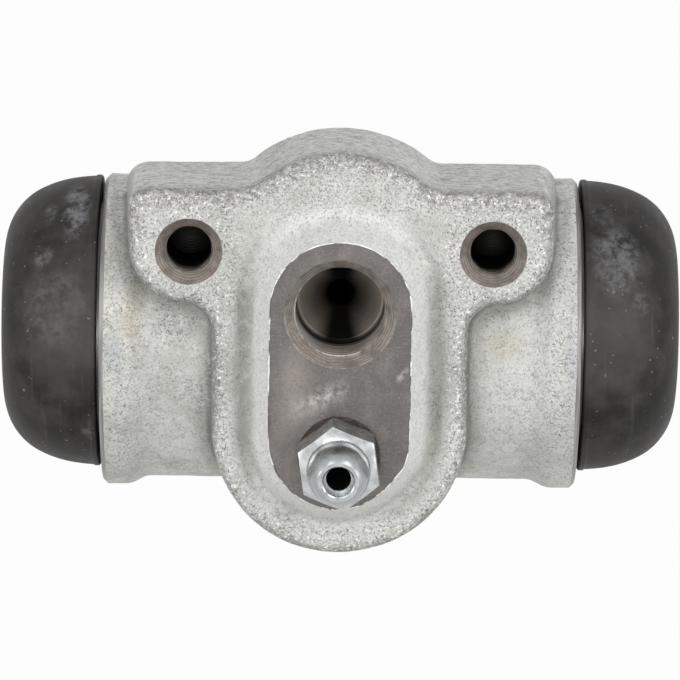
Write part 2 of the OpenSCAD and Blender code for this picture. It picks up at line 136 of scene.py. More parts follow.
def barrel_form(x, y, z):
    """Barrel with end collars, and a thread of flash where the two halves of the mould met."""
    rise = np.clip((np.abs(x) - COLLAR_FOOT) / COLLAR_BLEND, 0, 1)
    radius = BARREL_R + (COLLAR_R - BARREL_R) * (1 - np.cos(math.pi * rise)) / 2
    ragged = 0.55 + 0.45 * np.sin(x / FLASH_WAVES[0]) * np.sin(x / FLASH_WAVES[1] + 1)
    flash = FLASH_H * ragged * np.exp(-((y / FLASH_W) ** 2))
    side = np.hypot(y, z + CAST_DROP) - radius - flash
    return np.maximum(side, np.abs(x) - BARREL_END - FACING_STOCK)


def flange_outline(x, z):
    """Ears, hump and column as seen from the mounting side. An ear is round below and squarer above."""
    low_ear = np.hypot(np.maximum(np.abs(x) - EAR_X, 0), z - EAR_Z) - EAR_R
    past_x = np.abs(x) - (EAR_X + EAR_R - EAR_CORNER)
    past_z = z - (EAR_TOP - EAR_CORNER)
    high_ear = np.hypot(np.maximum(past_x, 0), np.maximum(past_z, 0)) - EAR_CORNER
    high_ear += np.minimum(np.maximum(past_x, past_z), 0)
    ears = np.where(z > EAR_Z, high_ear, low_ear)
    hump = np.maximum(np.hypot(x, z - HUMP_RISE) - HUMP_R, -BORE_Z - z)
    column = np.maximum(np.hypot(x, np.minimum(z + COLUMN_LOW, 0)) - COLUMN_R, z + BORE_Z)
    return fillet_join(fillet_join(ears, hump, HUMP_FILLET), column, EAR_FILLET)


def boss_side(x, z):
    """How far a point lies outside the boss, seen from the front. Low on its right it is worn flat."""
    height = z - np.clip(z, -COLUMN_LOW, BOSS_RISE)
    low_angle = np.degrees(np.arctan2(-height, x))
    flat = np.clip((low_angle - FLAT_START_DEG) / FLAT_EASE_IN_DEG, 0, 1)
    flat *= np.clip((FLAT_END_DEG - low_angle) / FLAT_EASE_OUT_DEG, 0, 1)
    return np.hypot(x, height) - BOSS_R + FLAT_DEPTH * flat


def flange_form(x, y, z):
    """The flange: a mounting face with a shallow valley round the boss, drafted sides and a drafted back."""
    valley = VALLEY_H * np.exp(-(((boss_side(x, z) - VALLEY_AT) / VALLEY_W) ** 2))
    face = valley * smooth_step(z, *VALLEY_FADE) - y - BORE_Y
    edge_r = EDGE_R + (TOP_EDGE_R - EDGE_R) * smooth_step(z, *TOP_EDGE_FADE)
    side = flange_outline(x, z) - np.maximum(y + BORE_Y - edge_r, 0) * math.tan(SIDE_DRAFT)
    back_at = BACK_Y + (EAR_TOP - np.abs(z)) * math.tan(BACK_DRAFT)
    plate = rounded_cut(side, face, edge_r)
    return rounded_cut(plate, (y - back_at) * math.cos(BACK_DRAFT), BACK_EDGE_R)


def casting_form(points):
    """The whole casting before any cutting: below zero inside the metal."""
    x, y, z = points[..., 0], points[..., 1] - BORE_Y, points[..., 2] - BORE_Z
    rise = -y - BORE_Y
    slope = (boss_side(x, z) - (BOSS_H - rise) * math.tan(BOSS_DRAFT)) * math.cos(BOSS_DRAFT)
    boss = np.maximum(slope, np.maximum(rise - BOSS_H - MILLING_STOCK, -rise - BOSS_ROOT))
    plate = fillet_join(flange_form(x, y, z), boss, BOSS_FILLET)
    return fillet_join(barrel_form(x, y, z), plate, SAND_FILLET)


def along_axis(array, axis, start, stop):
    """The slice of a grid from start to stop along one axis."""
    cut = [slice(None)] * array.ndim
    cut[axis] = slice(start, stop)
    return array[tuple(cut)]


def net_over(form, low, high, step):
    """Quads over the zero surface of a form: one point for each cell of a grid that it crosses."""
    sides = [np.arange(a, b + step, step) for a, b in zip(low, high)]
    grid = np.stack(np.meshgrid(*sides, indexing="ij"), -1)
    value = form(grid)
    cells = [n - 1 for n in value.shape]
    total = np.zeros((*cells, 3))
    hits = np.zeros(cells)
    crossings = []
    for axis in range(3):
        near = along_axis(value, axis, 0, -1)
        far = along_axis(value, axis, 1, None)
        crossed = (near < 0) != (far < 0)
        crossings.append((crossed, near < 0))
        share = np.where(crossed, near / np.where(crossed, near - far, 1), 0)
        spot = along_axis(grid, axis, 0, -1).copy()
        spot[..., axis] += share * step
        spot *= crossed[..., None]
        others = [k for k in range(3) if k != axis]
        for a in (0, 1):
            for b in (0, 1):
                part_spot = spot
                part_hit = crossed
                for k, shift in zip(others, (a, b)):
                    stop = None if shift else -1
                    part_spot = along_axis(part_spot, k, shift, stop)
                    part_hit = along_axis(part_hit, k, shift, stop)
                total += part_spot
                hits += part_hit
    used = hits > 0
    points = total[used] / hits[used][:, None]
    number = np.full(cells, -1)
    number[used] = np.arange(len(points))
    quads = []
    for axis, (crossed, outward) in enumerate(crossings):
        first, second = [k for k in range(3) if k != axis]
        inner = along_axis(along_axis(crossed, first, 1, -1), second, 1, -1)
        where = np.argwhere(inner)
        facing = along_axis(along_axis(outward, first, 1, -1), second, 1, -1)[tuple(where.T)]
        if axis == 1:
            facing = ~facing
        corner = []
        for a, b in ((0, 0), (1, 0), (1, 1), (0, 1)):
            cell = where.copy()
            cell[:, first] += a
            cell[:, second] += b
            corner.append(number[tuple(cell.T)])
        quad = np.stack(corner, 1)
        quads.append(np.where(facing[:, None], quad, quad[:, ::-1]))
    return points, np.concatenate(quads)


def is_closed(quads):
    """Whether each edge of a net is shared by just two of its quads."""
    ends = np.sort(np.concatenate([quads[:, [k, (k + 1) % 4]] for k in range(4)]), axis=1)
    return set(np.unique(ends, axis=0, return_counts=True)[1]) == {2}


def slope_of(form, points, reach=0.02 * mm):
    """Direction in which a form grows, at each point."""
    slope = np.empty_like(points)
    for axis in range(3):
        step = np.zeros(3)
        step[axis] = reach
        slope[:, axis] = (form(points + step) - form(points - step)) / (2 * reach)
    return slope


def settle_on(form, points, quads, passes):
    """Evens out the net and draws each of its points onto the surface of the form."""
    ends = np.concatenate([quads[:, [k, (k + 1) % 4]] for k in range(4)])
    ends = np.concatenate([ends, ends[:, ::-1]])
    degree = np.bincount(ends[:, 0], minlength=len(points))[:, None]
    for _ in range(passes):
        middle = np.stack([np.bincount(ends[:, 0], points[ends[:, 1], k], len(points)) for k in range(3)], 1)
        points = points + 0.5 * (middle / degree - points)
        for _ in range(2):
            slope = slope_of(form, points)
            length = np.maximum((slope**2).sum(1), 0.05)
            points = points - (form(points) / length)[:, None] * slope
    return points


def sand_skin(points, form):
    """Moves the points in and out as the grains and swells of the mould left them."""
    slope = slope_of(form, points)
    slope /= np.linalg.norm(slope, axis=1)[:, None]
    lift = np.zeros(len(points))
    for size, height in SAND_SWELLS:
        lift += [height * noise.noise(Vector(p) / size) for p in points]
    lift -= BACK_SKIN * smooth_step(points[:, 1], *BACK_SKIN_FADE)
    return points + lift[:, None] * slope


def mesh_object(name, points, faces):
    """A new mesh object in the scene."""
    mesh = bpy.data.meshes.new(name)
    mesh.from_pydata(np.asarray(points).tolist(), [], np.asarray(faces, dtype=object).tolist())
    mesh.update()
    made = bpy.data.objects.new(name, mesh)
    bpy.context.scene.collection.objects.link(made)
    return made


def turned(name, rings, foot, along, segments=96, start=0.0):
    """A closed solid turned about an axis from (height, radius) rings. A radius may vary round the axis."""
    along = Vector(along)
    across = Vector((0, 1, 0)) if along.x else Vector((1, 0, 0))
    angle = start + np.arange(segments) * 2 * math.pi / segments
    ring = np.outer(np.cos(angle), across) + np.outer(np.sin(angle), along.cross(across))
    points, faces, last = [], [], None
    for height, radius in rings:
        middle = np.array(Vector(foot) + along * height)
        pole = np.isscalar(radius) and radius == 0
        spots = middle[None] if pole else middle + ring * np.broadcast_to(radius, segments)[:, None]
        now = np.arange(len(spots)) + len(points)
        if last is not None:
            for k in range(segments):
                n = (k + 1) % segments
                if len(last) == 1:
                    faces.append([int(last[0]), int(now[n]), int(now[k])])
                elif len(now) == 1:
                    faces.append([int(last[k]), int(last[n]), int(now[0])])
                else:
                    faces.append([int(last[k]), int(last[n]), int(now[n]), int(now[k])])
        points.extend(spots)
        last = now
    return mesh_object(name, points, faces)


def machine(work, tool, finish, operation="DIFFERENCE"):
    """Cuts a tool out of the work, or joins it on, and clears the tool away. New faces get that finish."""
    for material in work.data.materials:
        tool.data.materials.append(material)
    tool.data.polygons.foreach_set("material_index", [finish] * len(tool.data.polygons))
    step = work.modifiers.new("step", "BOOLEAN")
    step.operation = operation
    step.solver = "MANIFOLD"
    step.material_mode = "INDEX"
    step.object = tool
    done = bpy.data.meshes.new_from_object(work.evaluated_get(bpy.context.evaluated_depsgraph_get()))
    work.modifiers.clear()
    work.data = done
    bpy.data.objects.remove(tool)


class Finish:
    """A material put together from its nodes, step by step. Sizes are in metres on the piece itself."""

    def __init__(self, name, metallic=0.0, specular=0.5):
        self.material = bpy.data.materials.new(name)
        self.material.use_nodes = True
        self.tree = self.material.node_tree
        self.shader = self.tree.nodes["Principled BSDF"]
        self.shader.inputs["Metallic"].default_value = metallic
        self.shader.inputs["Specular IOR Level"].default_value = specular
        self.place = self.tree.nodes.new("ShaderNodeTexCoord").outputs["Object"]

    def feed(self, socket, value):
        """Links a value into a socket, or sets it there if it is plain."""
        if isinstance(value, bpy.types.NodeSocket):
            self.tree.links.new(value, socket)
        elif isinstance(value, tuple):
            socket.default_value = (*value, 1.0) if len(value) < len(socket.default_value) else value
        else:
            socket.default_value = value

    def math(self, operation, a, b=0.0, c=0.0):
        """One step of arithmetic."""
        step = self.tree.nodes.new("ShaderNodeMath")
        step.operation = operation
        self.feed(step.inputs[0], a)
        self.feed(step.inputs[1], b)
        self.feed(step.inputs[2], c)
        return step.outputs[0]

    def where(self, stretch=(1, 1, 1)):
        """The place on the piece, stretched by a factor along each axis."""
        step = self.tree.nodes.new("ShaderNodeVectorMath")
        step.operation = "MULTIPLY"
        self.feed(step.inputs[0], self.place)
        step.inputs[1].default_value = stretch
        return step.outputs[0]

    def grain(self, size, detail=2.0, rough=0.5, stretch=(1, 1, 1)):
        """Cloudy noise whose patches are about that size."""
        step = self.tree.nodes.new("ShaderNodeTexNoise")
        self.feed(step.inputs["Vector"], self.where(stretch))
        step.inputs["Scale"].default_value = 1 / size
        step.inputs["Detail"].default_value = detail
        step.inputs["Roughness"].default_value = rough
        return step.outputs["Fac"]

    def span(self, value, low, high, start=0.0, end=1.0):
        """Carries the stretch from low to high over to the stretch from start to end, easing in and out."""
        step = self.tree.nodes.new("ShaderNodeMapRange")
        step.interpolation_type = "SMOOTHSTEP"
        self.feed(step.inputs["Value"], value)
        self.feed(step.inputs["From Min"], low)
        self.feed(step.inputs["From Max"], high)
        step.inputs["To Min"].default_value = start
        step.inputs["To Max"].default_value = end
        return step.outputs["Result"]

    def axis(self, name):
        """The place on the piece along one axis, X, Y or Z."""
        step = self.tree.nodes.new("ShaderNodeSeparateXYZ")
        self.feed(step.inputs[0], self.place)
        return step.outputs[name]

    def mark(self, name):
        """A value that the mesh carries at each of its points."""
        step = self.tree.nodes.new("ShaderNodeAttribute")
        step.attribute_name = name
        return step.outputs["Fac"]

    def reach(self, start, way):
        """How far the place on the piece lies from a point along one way, across and up."""
        step = self.tree.nodes.new("ShaderNodeVectorMath")
        step.operation = "DOT_PRODUCT"
        self.feed(step.inputs[0], self.place)
        step.inputs[1].default_value = (way[0], 0, way[1])
        return self.math("SUBTRACT", step.outputs["Value"], start[0] * way[0] + start[1] * way[1])

    def along(self, start, end, half):
        """A soft stroke from one point to another, across and up, on a face of the mounting side."""
        length = math.hypot(end[0] - start[0], end[1] - start[1])
        way = ((end[0] - start[0]) / length, (end[1] - start[1]) / length)
        off = self.math("ABSOLUTE", self.reach(start, (-way[1], way[0])))
        gone = self.reach(start, way)
        past = self.math("ABSOLUTE", self.math("SUBTRACT", gone, length / 2))
        inside = self.span(past, length / 2 + half, length / 2 - half)
        return self.math("MULTIPLY", inside, self.span(off, half, 0.0))

    def tint(self, amount, under, over):
        """One colour laid over another."""
        step = self.tree.nodes.new("ShaderNodeMix")
        step.data_type = "RGBA"
        self.feed(step.inputs["Factor"], amount)
        self.feed(step.inputs["A"], under)
        self.feed(step.inputs["B"], over)
        return step.outputs["Result"]

    def relief(self, height, depth, under=None):
        """Fine relief in the surface, that deep in metres."""
        step = self.tree.nodes.new("ShaderNodeBump")
        step.inputs["Distance"].default_value = depth
        self.feed(step.inputs["Height"], height)
        if under:
            self.feed(step.inputs["Normal"], under)
        return step.outputs["Normal"]

    def done(self, colour, roughness, normal=None):
        """Joins the colour, roughness and relief to the shader."""
        self.feed(self.shader.inputs["Base Color"], colour)
        self.feed(self.shader.inputs["Roughness"], roughness)
        if normal:
            self.feed(self.shader.inputs["Normal"], normal)
        return self.material


ZINC_PALE = (0.58, 0.58, 0.55)
ZINC_GREEN = (0.46, 0.47, 0.43)
ZINC_HOLLOW_SHADE = (0.29, 0.308, 0.262)
ZINC_HIGHLIGHT = (0.625, 0.625, 0.60)
ZINC_BRIGHT = (0.93, 0.93, 0.90)
ZINC_DARK = (0.075, 0.072, 0.072)
ZINC_SCUFF = (0.235, 0.222, 0.216)
ZINC_OCHRE = (0.50, 0.42, 0.27)
ZINC_BLUE = (0.33, 0.36, 0.41)
CREASE_SHADE = (0.09, 0.09, 0.08)
DRAG_PALE = (0.61, 0.61, 0.59)
DRAG_DARK = (0.20, 0.20, 0.20)


def zinc_skin():
    """Bright zinc over the grain of a sand casting: speckled where rough, with painted glints and
    highlights, and painted shade, greenish in the valley and dark in the creases.
    """
    skin = Finish("zinc_skin", metallic=0.2)
    coarse = skin.mark("coarse")
    clouds = skin.grain(5.0 * mm, 4, 0.6)
    colour = skin.tint(skin.span(clouds, 0.38, 0.66), ZINC_PALE, ZINC_GREEN)
    # Painted highlight: the boss's upward slope, the crest of the flange's edge and some patches of the
    # front are lightened
    colour = skin.tint(skin.mark("painted_highlight"), colour, ZINC_HIGHLIGHT)
    # Painted shade: the valley round the boss and the join of barrel and flange, greenish
    colour = skin.tint(skin.mark("hollow"), colour, ZINC_HOLLOW_SHADE)
    colour = skin.tint(skin.mark("ochre"), colour, ZINC_OCHRE)
    colour = skin.tint(skin.mark("blue"), colour, ZINC_BLUE)
    grit = skin.grain(0.28 * mm, 6, 0.76)
    patches = skin.grain(1.5 * mm, 6, 0.72)
    faint = skin.math("MULTIPLY", skin.span(grit, 0.55, 0.36), skin.span(coarse, 0.1, 0.9, 0.34, 0.58))
    colour = skin.tint(faint, colour, ZINC_SCUFF)
    colour = skin.tint(skin.span(patches, 0.48, 0.70, 0, 0.18), colour, ZINC_BRIGHT)
    colour = skin.tint(skin.span(patches, 0.46, 0.30, 0, 0.12), colour, ZINC_SCUFF)
    streaks = skin.grain(0.26 * mm, 6, 0.78, (0.20, 1, 0.6))
    dragged = skin.tint(skin.span(streaks, 0.54, 0.38), DRAG_PALE, DRAG_DARK)
    colour = skin.tint(skin.mark("drag"), colour, dragged)
    worn_spots = skin.grain(0.7 * mm, 6, 0.78)
    # This mark carries a real scuffed band and stains, and also a painted shadow line along the outer edge
    scuffs = skin.math("MULTIPLY", skin.mark("scuff_and_edge_shade"), skin.span(worn_spots, 0.44, 0.56, 0, 0.8))
    colour = skin.tint(scuffs, colour, ZINC_SCUFF)
    curl = skin.math("ABSOLUTE", skin.math("SUBTRACT", skin.grain(0.55 * mm, 3, 0.6), 0.5))
    gathered = skin.span(skin.grain(0.9 * mm, 5, 0.7), 0.46, 0.56)
    curls = skin.math("MULTIPLY", skin.span(curl, 0.030, 0.010), gathered)
    colour = skin.tint(skin.math("MULTIPLY", curls, skin.mark("specks")), colour, ZINC_DARK)
    rough_here = skin.math("MULTIPLY", coarse, skin.span(patches, 0.42, 0.58, 0.25, 1.0))
    pits = skin.math("MULTIPLY", rough_here, skin.span(grit, 0.47, 0.415))
    colour = skin.tint(pits, colour, ZINC_DARK)
    # Painted glints: bright flecks where the grain would catch the light
    glint_spots = skin.grain(0.50 * mm, 6, 0.78, (1, 1, 1.15))
    glints = skin.math("MULTIPLY", skin.mark("glint_spots"), skin.span(glint_spots, 0.54, 0.62))
    colour = skin.tint(glints, colour, ZINC_BRIGHT)
    # Painted shade in the creases, on the side walls and along the outer edge
    colour = skin.tint(skin.mark("crease"), colour, CREASE_SHADE)
    normal = skin.relief(skin.grain(0.9 * mm, 3, 0.6), 0.08 * mm)
    normal = skin.relief(grit, 0.14 * mm, normal)
    return skin.done(colour, skin.span(grit, 0.3, 0.7, 0.38, 0.56), normal)


IRON_MILLED = (0.098, 0.091, 0.085)
IRON_SMEAR = (0.255, 0.222, 0.200)
IRON_RUBBED = (0.40, 0.375, 0.355)
IRON_PIT = (0.05, 0.047, 0.045)

# Smears and rubs on the milled face: where each starts and ends, across and up, half its width, strength
MILLED_SMEARS = [
    ((-5.2 * mm, -19.0 * mm), (-5.0 * mm, -10.5 * mm), 3.0 * mm, 0.75),
    ((-3.5 * mm, 0.4 * mm), (4.0 * mm, 0.4 * mm), 1.6 * mm, 0.1),
]
MILLED_RUBS = [
    ((-4.6 * mm, -17.2 * mm), (0.4 * mm, -14.8 * mm), 1.9 * mm, 0.75),
    ((-4.4 * mm, -17.0 * mm), (-0.6 * mm, -15.2 * mm), 0.5 * mm, 0.55),
    ((6.5 * mm, -13.7 * mm), (7.5 * mm, -12.4 * mm), 0.55 * mm, 0.75),
]


def milled_iron():
    """Bare iron where a cutter took the zinc off, with brownish smears, rubs and fine cutter marks."""
    face = Finish("milled_iron", metallic=0.4)
    smears = face.grain(4.0 * mm, 6, 0.66, (1, 1, 0.7))
    colour = face.tint(face.span(smears, 0.42, 0.76, 0, 0.6), IRON_MILLED, IRON_SMEAR)
    break_up = face.grain(0.9 * mm, 6, 0.78)
    for start, end, half, strength in MILLED_SMEARS:
        patchy = face.span(break_up, 0.25, 0.6, 0.5 * strength, strength)
        smear = face.math("MULTIPLY", face.along(start, end, half), patchy)
        colour = face.tint(smear, colour, IRON_SMEAR)
    lines = face.grain(0.20 * mm, 3, 0.6, (0.10, 1, 1))
    colour = face.tint(face.span(lines, 0.58, 0.75, 0, 0.22), colour, IRON_RUBBED)
    flecks = face.grain(0.26 * mm, 4, 0.7)
    colour = face.tint(face.span(flecks, 0.56, 0.72, 0, 0.4), colour, IRON_RUBBED)
    colour = face.tint(face.span(flecks, 0.46, 0.34, 0, 0.5), colour, IRON_PIT)
    for start, end, half, strength in MILLED_RUBS:
        patchy = face.span(break_up, 0.36, 0.60, 0, strength)
        rub = face.math("MULTIPLY", face.along(start, end, half), patchy)
        colour = face.tint(rub, colour, IRON_RUBBED)
    normal = face.relief(lines, 0.008 * mm)
    return face.done(colour, face.span(smears, 0.3, 0.7, 0.42, 0.56), normal)


IRON_TAPPED = (0.125, 0.110, 0.098)
IRON_STAIN = (0.200, 0.170, 0.148)
IRON_CUT = (0.30, 0.270, 0.245)
IRON_RIM_HIGHLIGHT = (0.70, 0.67, 0.63)
IRON_SEAT = (0.36, 0.31, 0.265)
IRON_THREAD_LIT = (0.40, 0.37, 0.34)
IRON_DEEP_SHADE = (0.006, 0.006, 0.005)
TOOL_FEED = 0.36 * mm


def tapped_iron():
    """Bare iron in the tapped holes: taupe, with painted highlights on its rims, thread rings painted
    lighter as if lit, and painted shade near black deep down.
    """
    wall = Finish("tapped_iron", metallic=0.3, specular=0.1)
    stain = wall.grain(1.3 * mm, 6, 0.72)
    colour = wall.tint(wall.span(stain, 0.35, 0.68), IRON_TAPPED, IRON_STAIN)
    wander = wall.math("MULTIPLY_ADD", wall.grain(2.5 * mm, 2), 0.5 * mm, wall.mark("radius"))
    turns = wall.math("MULTIPLY", wander, 2 * math.pi / TOOL_FEED)
    ridges = wall.math("MULTIPLY_ADD", wall.math("SINE", turns), 0.5, 0.5)
    cut = wall.math("MULTIPLY", wall.span(ridges, 0.55, 0.95), wall.span(stain, 0.40, 0.60, 0.12, 0.70))
    colour = wall.tint(cut, colour, IRON_CUT)
    # Painted light: the thread band is lightened along its rings, as if lit
    lit_threads = wall.math("MULTIPLY", wall.mark("thread"), wall.span(ridges, 0.15, 0.85, 0.25, 0.8))
    colour = wall.tint(lit_threads, colour, IRON_THREAD_LIT)
    colour = wall.tint(wall.mark("seat"), colour, IRON_SEAT)
    # Painted highlight: a thin bright ring at the rims of the holes
    rim_highlight = wall.math("MULTIPLY", wall.mark("rim_highlight"), wall.span(stain, 0.40, 0.58, 0.15, 1.0))
    colour = wall.tint(rim_highlight, colour, IRON_RIM_HIGHLIGHT)
    # Painted shade: near black deep down in the holes
    colour = wall.tint(wall.mark("deep"), colour, IRON_DEEP_SHADE)
    normal = wall.relief(ridges, 0.015 * mm)
    return wall.done(colour, wall.span(stain, 0.3, 0.7, 0.38, 0.52), normal)


IRON_BORED = (0.20, 0.195, 0.19)
IRON_HONED = (0.32, 0.31, 0.30)


def bored_iron():
    """Turned and honed iron of the bore and the necks under the boots."""
    wall = Finish("bored_iron", metallic=0.8)
    rings = wall.grain(0.3 * mm, 2, 0.5, (1, 0.05, 0.05))
    colour = wall.tint(wall.span(rings, 0.35, 0.65), IRON_BORED, IRON_HONED)
    return wall.done(colour, wall.span(rings, 0.3, 0.7, 0.36, 0.5), wall.relief(rings, 0.006 * mm))


SKIN, MILLED, TAPPED, BORED = range(4)

# The grid is shifted a little where the net over it would not close
GRID_MARGINS = (1.93 * mm, 1.87 * mm, 1.81 * mm, 2.03 * mm, 2.11 * mm, 2.17 * mm)
for margin in GRID_MARGINS:
    low = np.array(BODY_LOW) - margin
    high = np.array(BODY_HIGH) + margin
    points, quads = net_over(casting_form, low, high, NET_STEP)
    if is_closed(quads):
        break
points = settle_on(casting_form, points, quads, 3)
points = sand_skin(points, casting_form)
casting = mesh_object("casting", points, quads)
for finish in (zinc_skin(), milled_iron(), tapped_iron(), bored_iron()):
    casting.data.materials.append(finish)

# Milling, turning, boring and drilling the casting
BORE_ALONG = (1, 0, 0)
INTO_FACE = (0, 1, 0)
OUT_OF_FACE = (0, -1, 0)
RUN_OUT = 1.0 * mm
bore_middle = Vector((0, BORE_Y, BORE_Z))

MILL_R = 60 * mm
MILL_H = 9 * mm
mill = [(0, 0), (0, MILL_R), (MILL_H, MILL_R), (MILL_H, 0)]
machine(casting, turned("mill", mill, (0, MILLED_Y, BORE_Z), OUT_OF_FACE), MILLED)

COLLAR_CHAMFER = 0.5 * mm
NECK_R = 13.6 * mm
NECK_END = 31.5 * mm
NECK_GROOVE = (28.4 * mm, 30.2 * mm)
NECK_GROOVE_R = 12.8 * mm
NECK_BEVEL = 0.2 * mm
for side in (-1, 1):
    outward = (side, 0, 0)
    rim_r = COLLAR_R - COLLAR_CHAMFER
    facing = [
        (0, 0), (0, rim_r), (-2 * RUN_OUT, rim_r + 2 * RUN_OUT), (-2 * RUN_OUT, 2 * rim_r),
        (4 * RUN_OUT, 2 * rim_r), (4 * RUN_OUT, 0),
    ]
    end_middle = bore_middle + Vector((side * BARREL_END, 0, -CAST_DROP))
    machine(casting, turned("facing", facing, end_middle, outward, 192), BORED)
    neck = [
        (BARREL_END - RUN_OUT, 0), (BARREL_END - RUN_OUT, NECK_R), (NECK_GROOVE[0], NECK_R),
        (NECK_GROOVE[0], NECK_GROOVE_R), (NECK_GROOVE[1], NECK_GROOVE_R), (NECK_GROOVE[1], NECK_R),
        (NECK_END - NECK_BEVEL, NECK_R), (NECK_END, NECK_R - NECK_BEVEL), (NECK_END, 0),
    ]
    machine(casting, turned("neck", neck, bore_middle, outward, 128), BORED, "UNION")

BORE_CHAMFER = 0.5 * mm
wide = BORE_R + BORE_CHAMFER + RUN_OUT
bore = [
    (-NECK_END - RUN_OUT, 0), (-NECK_END - RUN_OUT, wide), (BORE_CHAMFER - NECK_END, BORE_R),
    (NECK_END - BORE_CHAMFER, BORE_R), (NECK_END + RUN_OUT, wide), (NECK_END + RUN_OUT, 0),
]
machine(casting, turned("bore", bore, bore_middle, BORE_ALONG, 128), BORED)


THREAD_STEPS = 8


def thread_form(phase):
    """How far a thread stands out, from 0 to 1, along one turn of its pitch."""
    return np.clip(1.25 - 2.5 * np.abs(phase - 0.5), 0, 1)


def tapped_hole(wall_r, mouth_r, thread_end, pitch, thread_h, segments):
    """Rings of a tap and countersink: the cone of the mouth, then a thread that winds in."""
    turn = np.arange(segments) / segments
    rings = [(-RUN_OUT, 0), (-RUN_OUT, mouth_r + RUN_OUT)]
    for depth in np.arange(0, thread_end, pitch / THREAD_STEPS):
        phase = (depth / pitch - turn) % 1
        thread = wall_r + thread_h * thread_form(phase)
        rings.append((depth, np.maximum(thread, mouth_r - depth)))
    return rings


PORT_R = 5.0 * mm
PORT_MOUTH_R = 6.25 * mm
PORT_Z = BORE_Z + 6.6 * mm
PORT_THREAD_END = 6.5 * mm
PORT_DEPTH = 7.0 * mm
PORT_UNDERCUT = 0.25 * mm
PORT_PITCH = 1.0 * mm
PORT_THREAD_H = 0.22 * mm
PORT_SEGMENTS = 160
SEAT_R = 4.65 * mm
PASSAGE_R = 1.55 * mm
PASSAGE_END = 15.0 * mm
port = tapped_hole(PORT_R, PORT_MOUTH_R, PORT_THREAD_END, PORT_PITCH, PORT_THREAD_H, PORT_SEGMENTS)
port += [
    (PORT_THREAD_END, PORT_R + PORT_UNDERCUT), (PORT_DEPTH, PORT_R + PORT_UNDERCUT), (PORT_DEPTH, SEAT_R),
    (PORT_DEPTH + SEAT_R - PASSAGE_R, PASSAGE_R), (PASSAGE_END, PASSAGE_R), (PASSAGE_END, 0),
]
machine(casting, turned("port", port, (0, MILLED_Y, PORT_Z), INTO_FACE, PORT_SEGMENTS), TAPPED)

BLEED_R = 3.5 * mm
BLEED_MOUTH_R = 4.65 * mm
BLEED_Z = BORE_Z - 9.8 * mm
BLEED_DEPTH = 10.2 * mm
BLEED_PASSAGE_R = 1.3 * mm
bleed = [
    (-RUN_OUT, 0), (-RUN_OUT, BLEED_MOUTH_R + RUN_OUT), (BLEED_MOUTH_R - BLEED_R, BLEED_R),
    (BLEED_DEPTH, BLEED_R), (BLEED_DEPTH + BLEED_R - BLEED_PASSAGE_R, BLEED_PASSAGE_R),
    (BLEED_DEPTH + 2 * BLEED_R, BLEED_PASSAGE_R), (BLEED_DEPTH + 2 * BLEED_R, 0),
]
machine(casting, turned("bleed", bleed, (0, MILLED_Y, BLEED_Z), INTO_FACE, 128), TAPPED)

BOLT_R = 2.5 * mm
BOLT_MOUTH_R = 3.8 * mm
BOLT_DEPTH = 10.0 * mm
BOLT_PITCH = 1.0 * mm
BOLT_THREAD_H = 0.35 * mm
BOLT_SEGMENTS = 96
DRILL_POINT = math.radians(59)
bolt_hole = tapped_hole(BOLT_R, BOLT_MOUTH_R, BOLT_DEPTH, BOLT_PITCH, BOLT_THREAD_H, BOLT_SEGMENTS)
bolt_hole += [(BOLT_DEPTH, BOLT_R), (BOLT_DEPTH + BOLT_R / math.tan(DRILL_POINT), 0)]
for side in (-1, 1):
    cutter = turned("bolt_hole", bolt_hole, (side * BOLT_X, 0, 0), INTO_FACE, BOLT_SEGMENTS)
    machine(casting, cutter, TAPPED)


def carry(piece, name, values):
    """Keeps a value at each point of a mesh, for its material."""
    kept = piece.data.attributes.new(name, "FLOAT", "POINT")
    kept.data.foreach_set("value", np.asarray(values, np.float32))


# Where the finishes of the casting change, as a value at each of its points
spots = np.empty(len(casting.data.vertices) * 3)
casting.data.vertices.foreach_get("co", spots)
spots = spots.reshape(-1, 3)
x, y, z = spots[:, 0], spots[:, 1] - BORE_Y, spots[:, 2] - BORE_Z
leaning = slope_of(casting_form, spots)
leaning /= np.maximum(np.linalg.norm(leaning, axis=1), 1e-6)[:, None]
outline = flange_outline(x, z)
from_boss = boss_side(x, z)
join = np.abs(barrel_form(x, y, z)) + np.abs(flange_form(x, y, z))

# Faces of the casting
on_flange = smooth_step(outline, 0.8 * mm, 0.3 * mm)
front = on_flange * smooth_step(-y, BORE_Y - 3 * mm, BORE_Y - 0.5 * mm)
upper = smooth_step(z, 13.0 * mm, 15.0 * mm)
hump_face = front * smooth_step(z, 15.0 * mm, 19.0 * mm)
ear_face = front * smooth_step(np.abs(x), 10.5 * mm, 12.5 * mm) * smooth_step(z, 4.0 * mm, 7.0 * mm)
foot = smooth_step(z, -15.0 * mm, -19.0 * mm) * smooth_step(from_boss, 2.5 * mm, 4.5 * mm)
ends = smooth_step(np.abs(x), 20.5 * mm, 24.5 * mm)

# Edges of the flange: coarse, with painted glints, a scuffed band and drag marks along the top, and painted
# shadow lines along the outer edge and on the side walls
edge = front * smooth_step(outline, -2.8 * mm, -1.0 * mm)
crest = front * smooth_step(np.abs(outline + 1.6 * mm), 1.0 * mm, 0.3 * mm)
# Painted shadow line just inside the outer edge, laid into the crease shade below
lip = front * smooth_step(outline, -0.9 * mm, -0.2 * mm)
# Painted highlight along the crest of the flange's rounded edge
crest_highlight = 0.65 * crest * (1 - ear_face) * (1 - upper)
top_band = upper * front * smooth_step(outline, -2.6 * mm, -1.2 * mm)
# Painted shadow line along the outer edge
outer_edge_shade = 0.8 * (1 - upper) * front * smooth_step(outline, -1.6 * mm, -0.3 * mm)
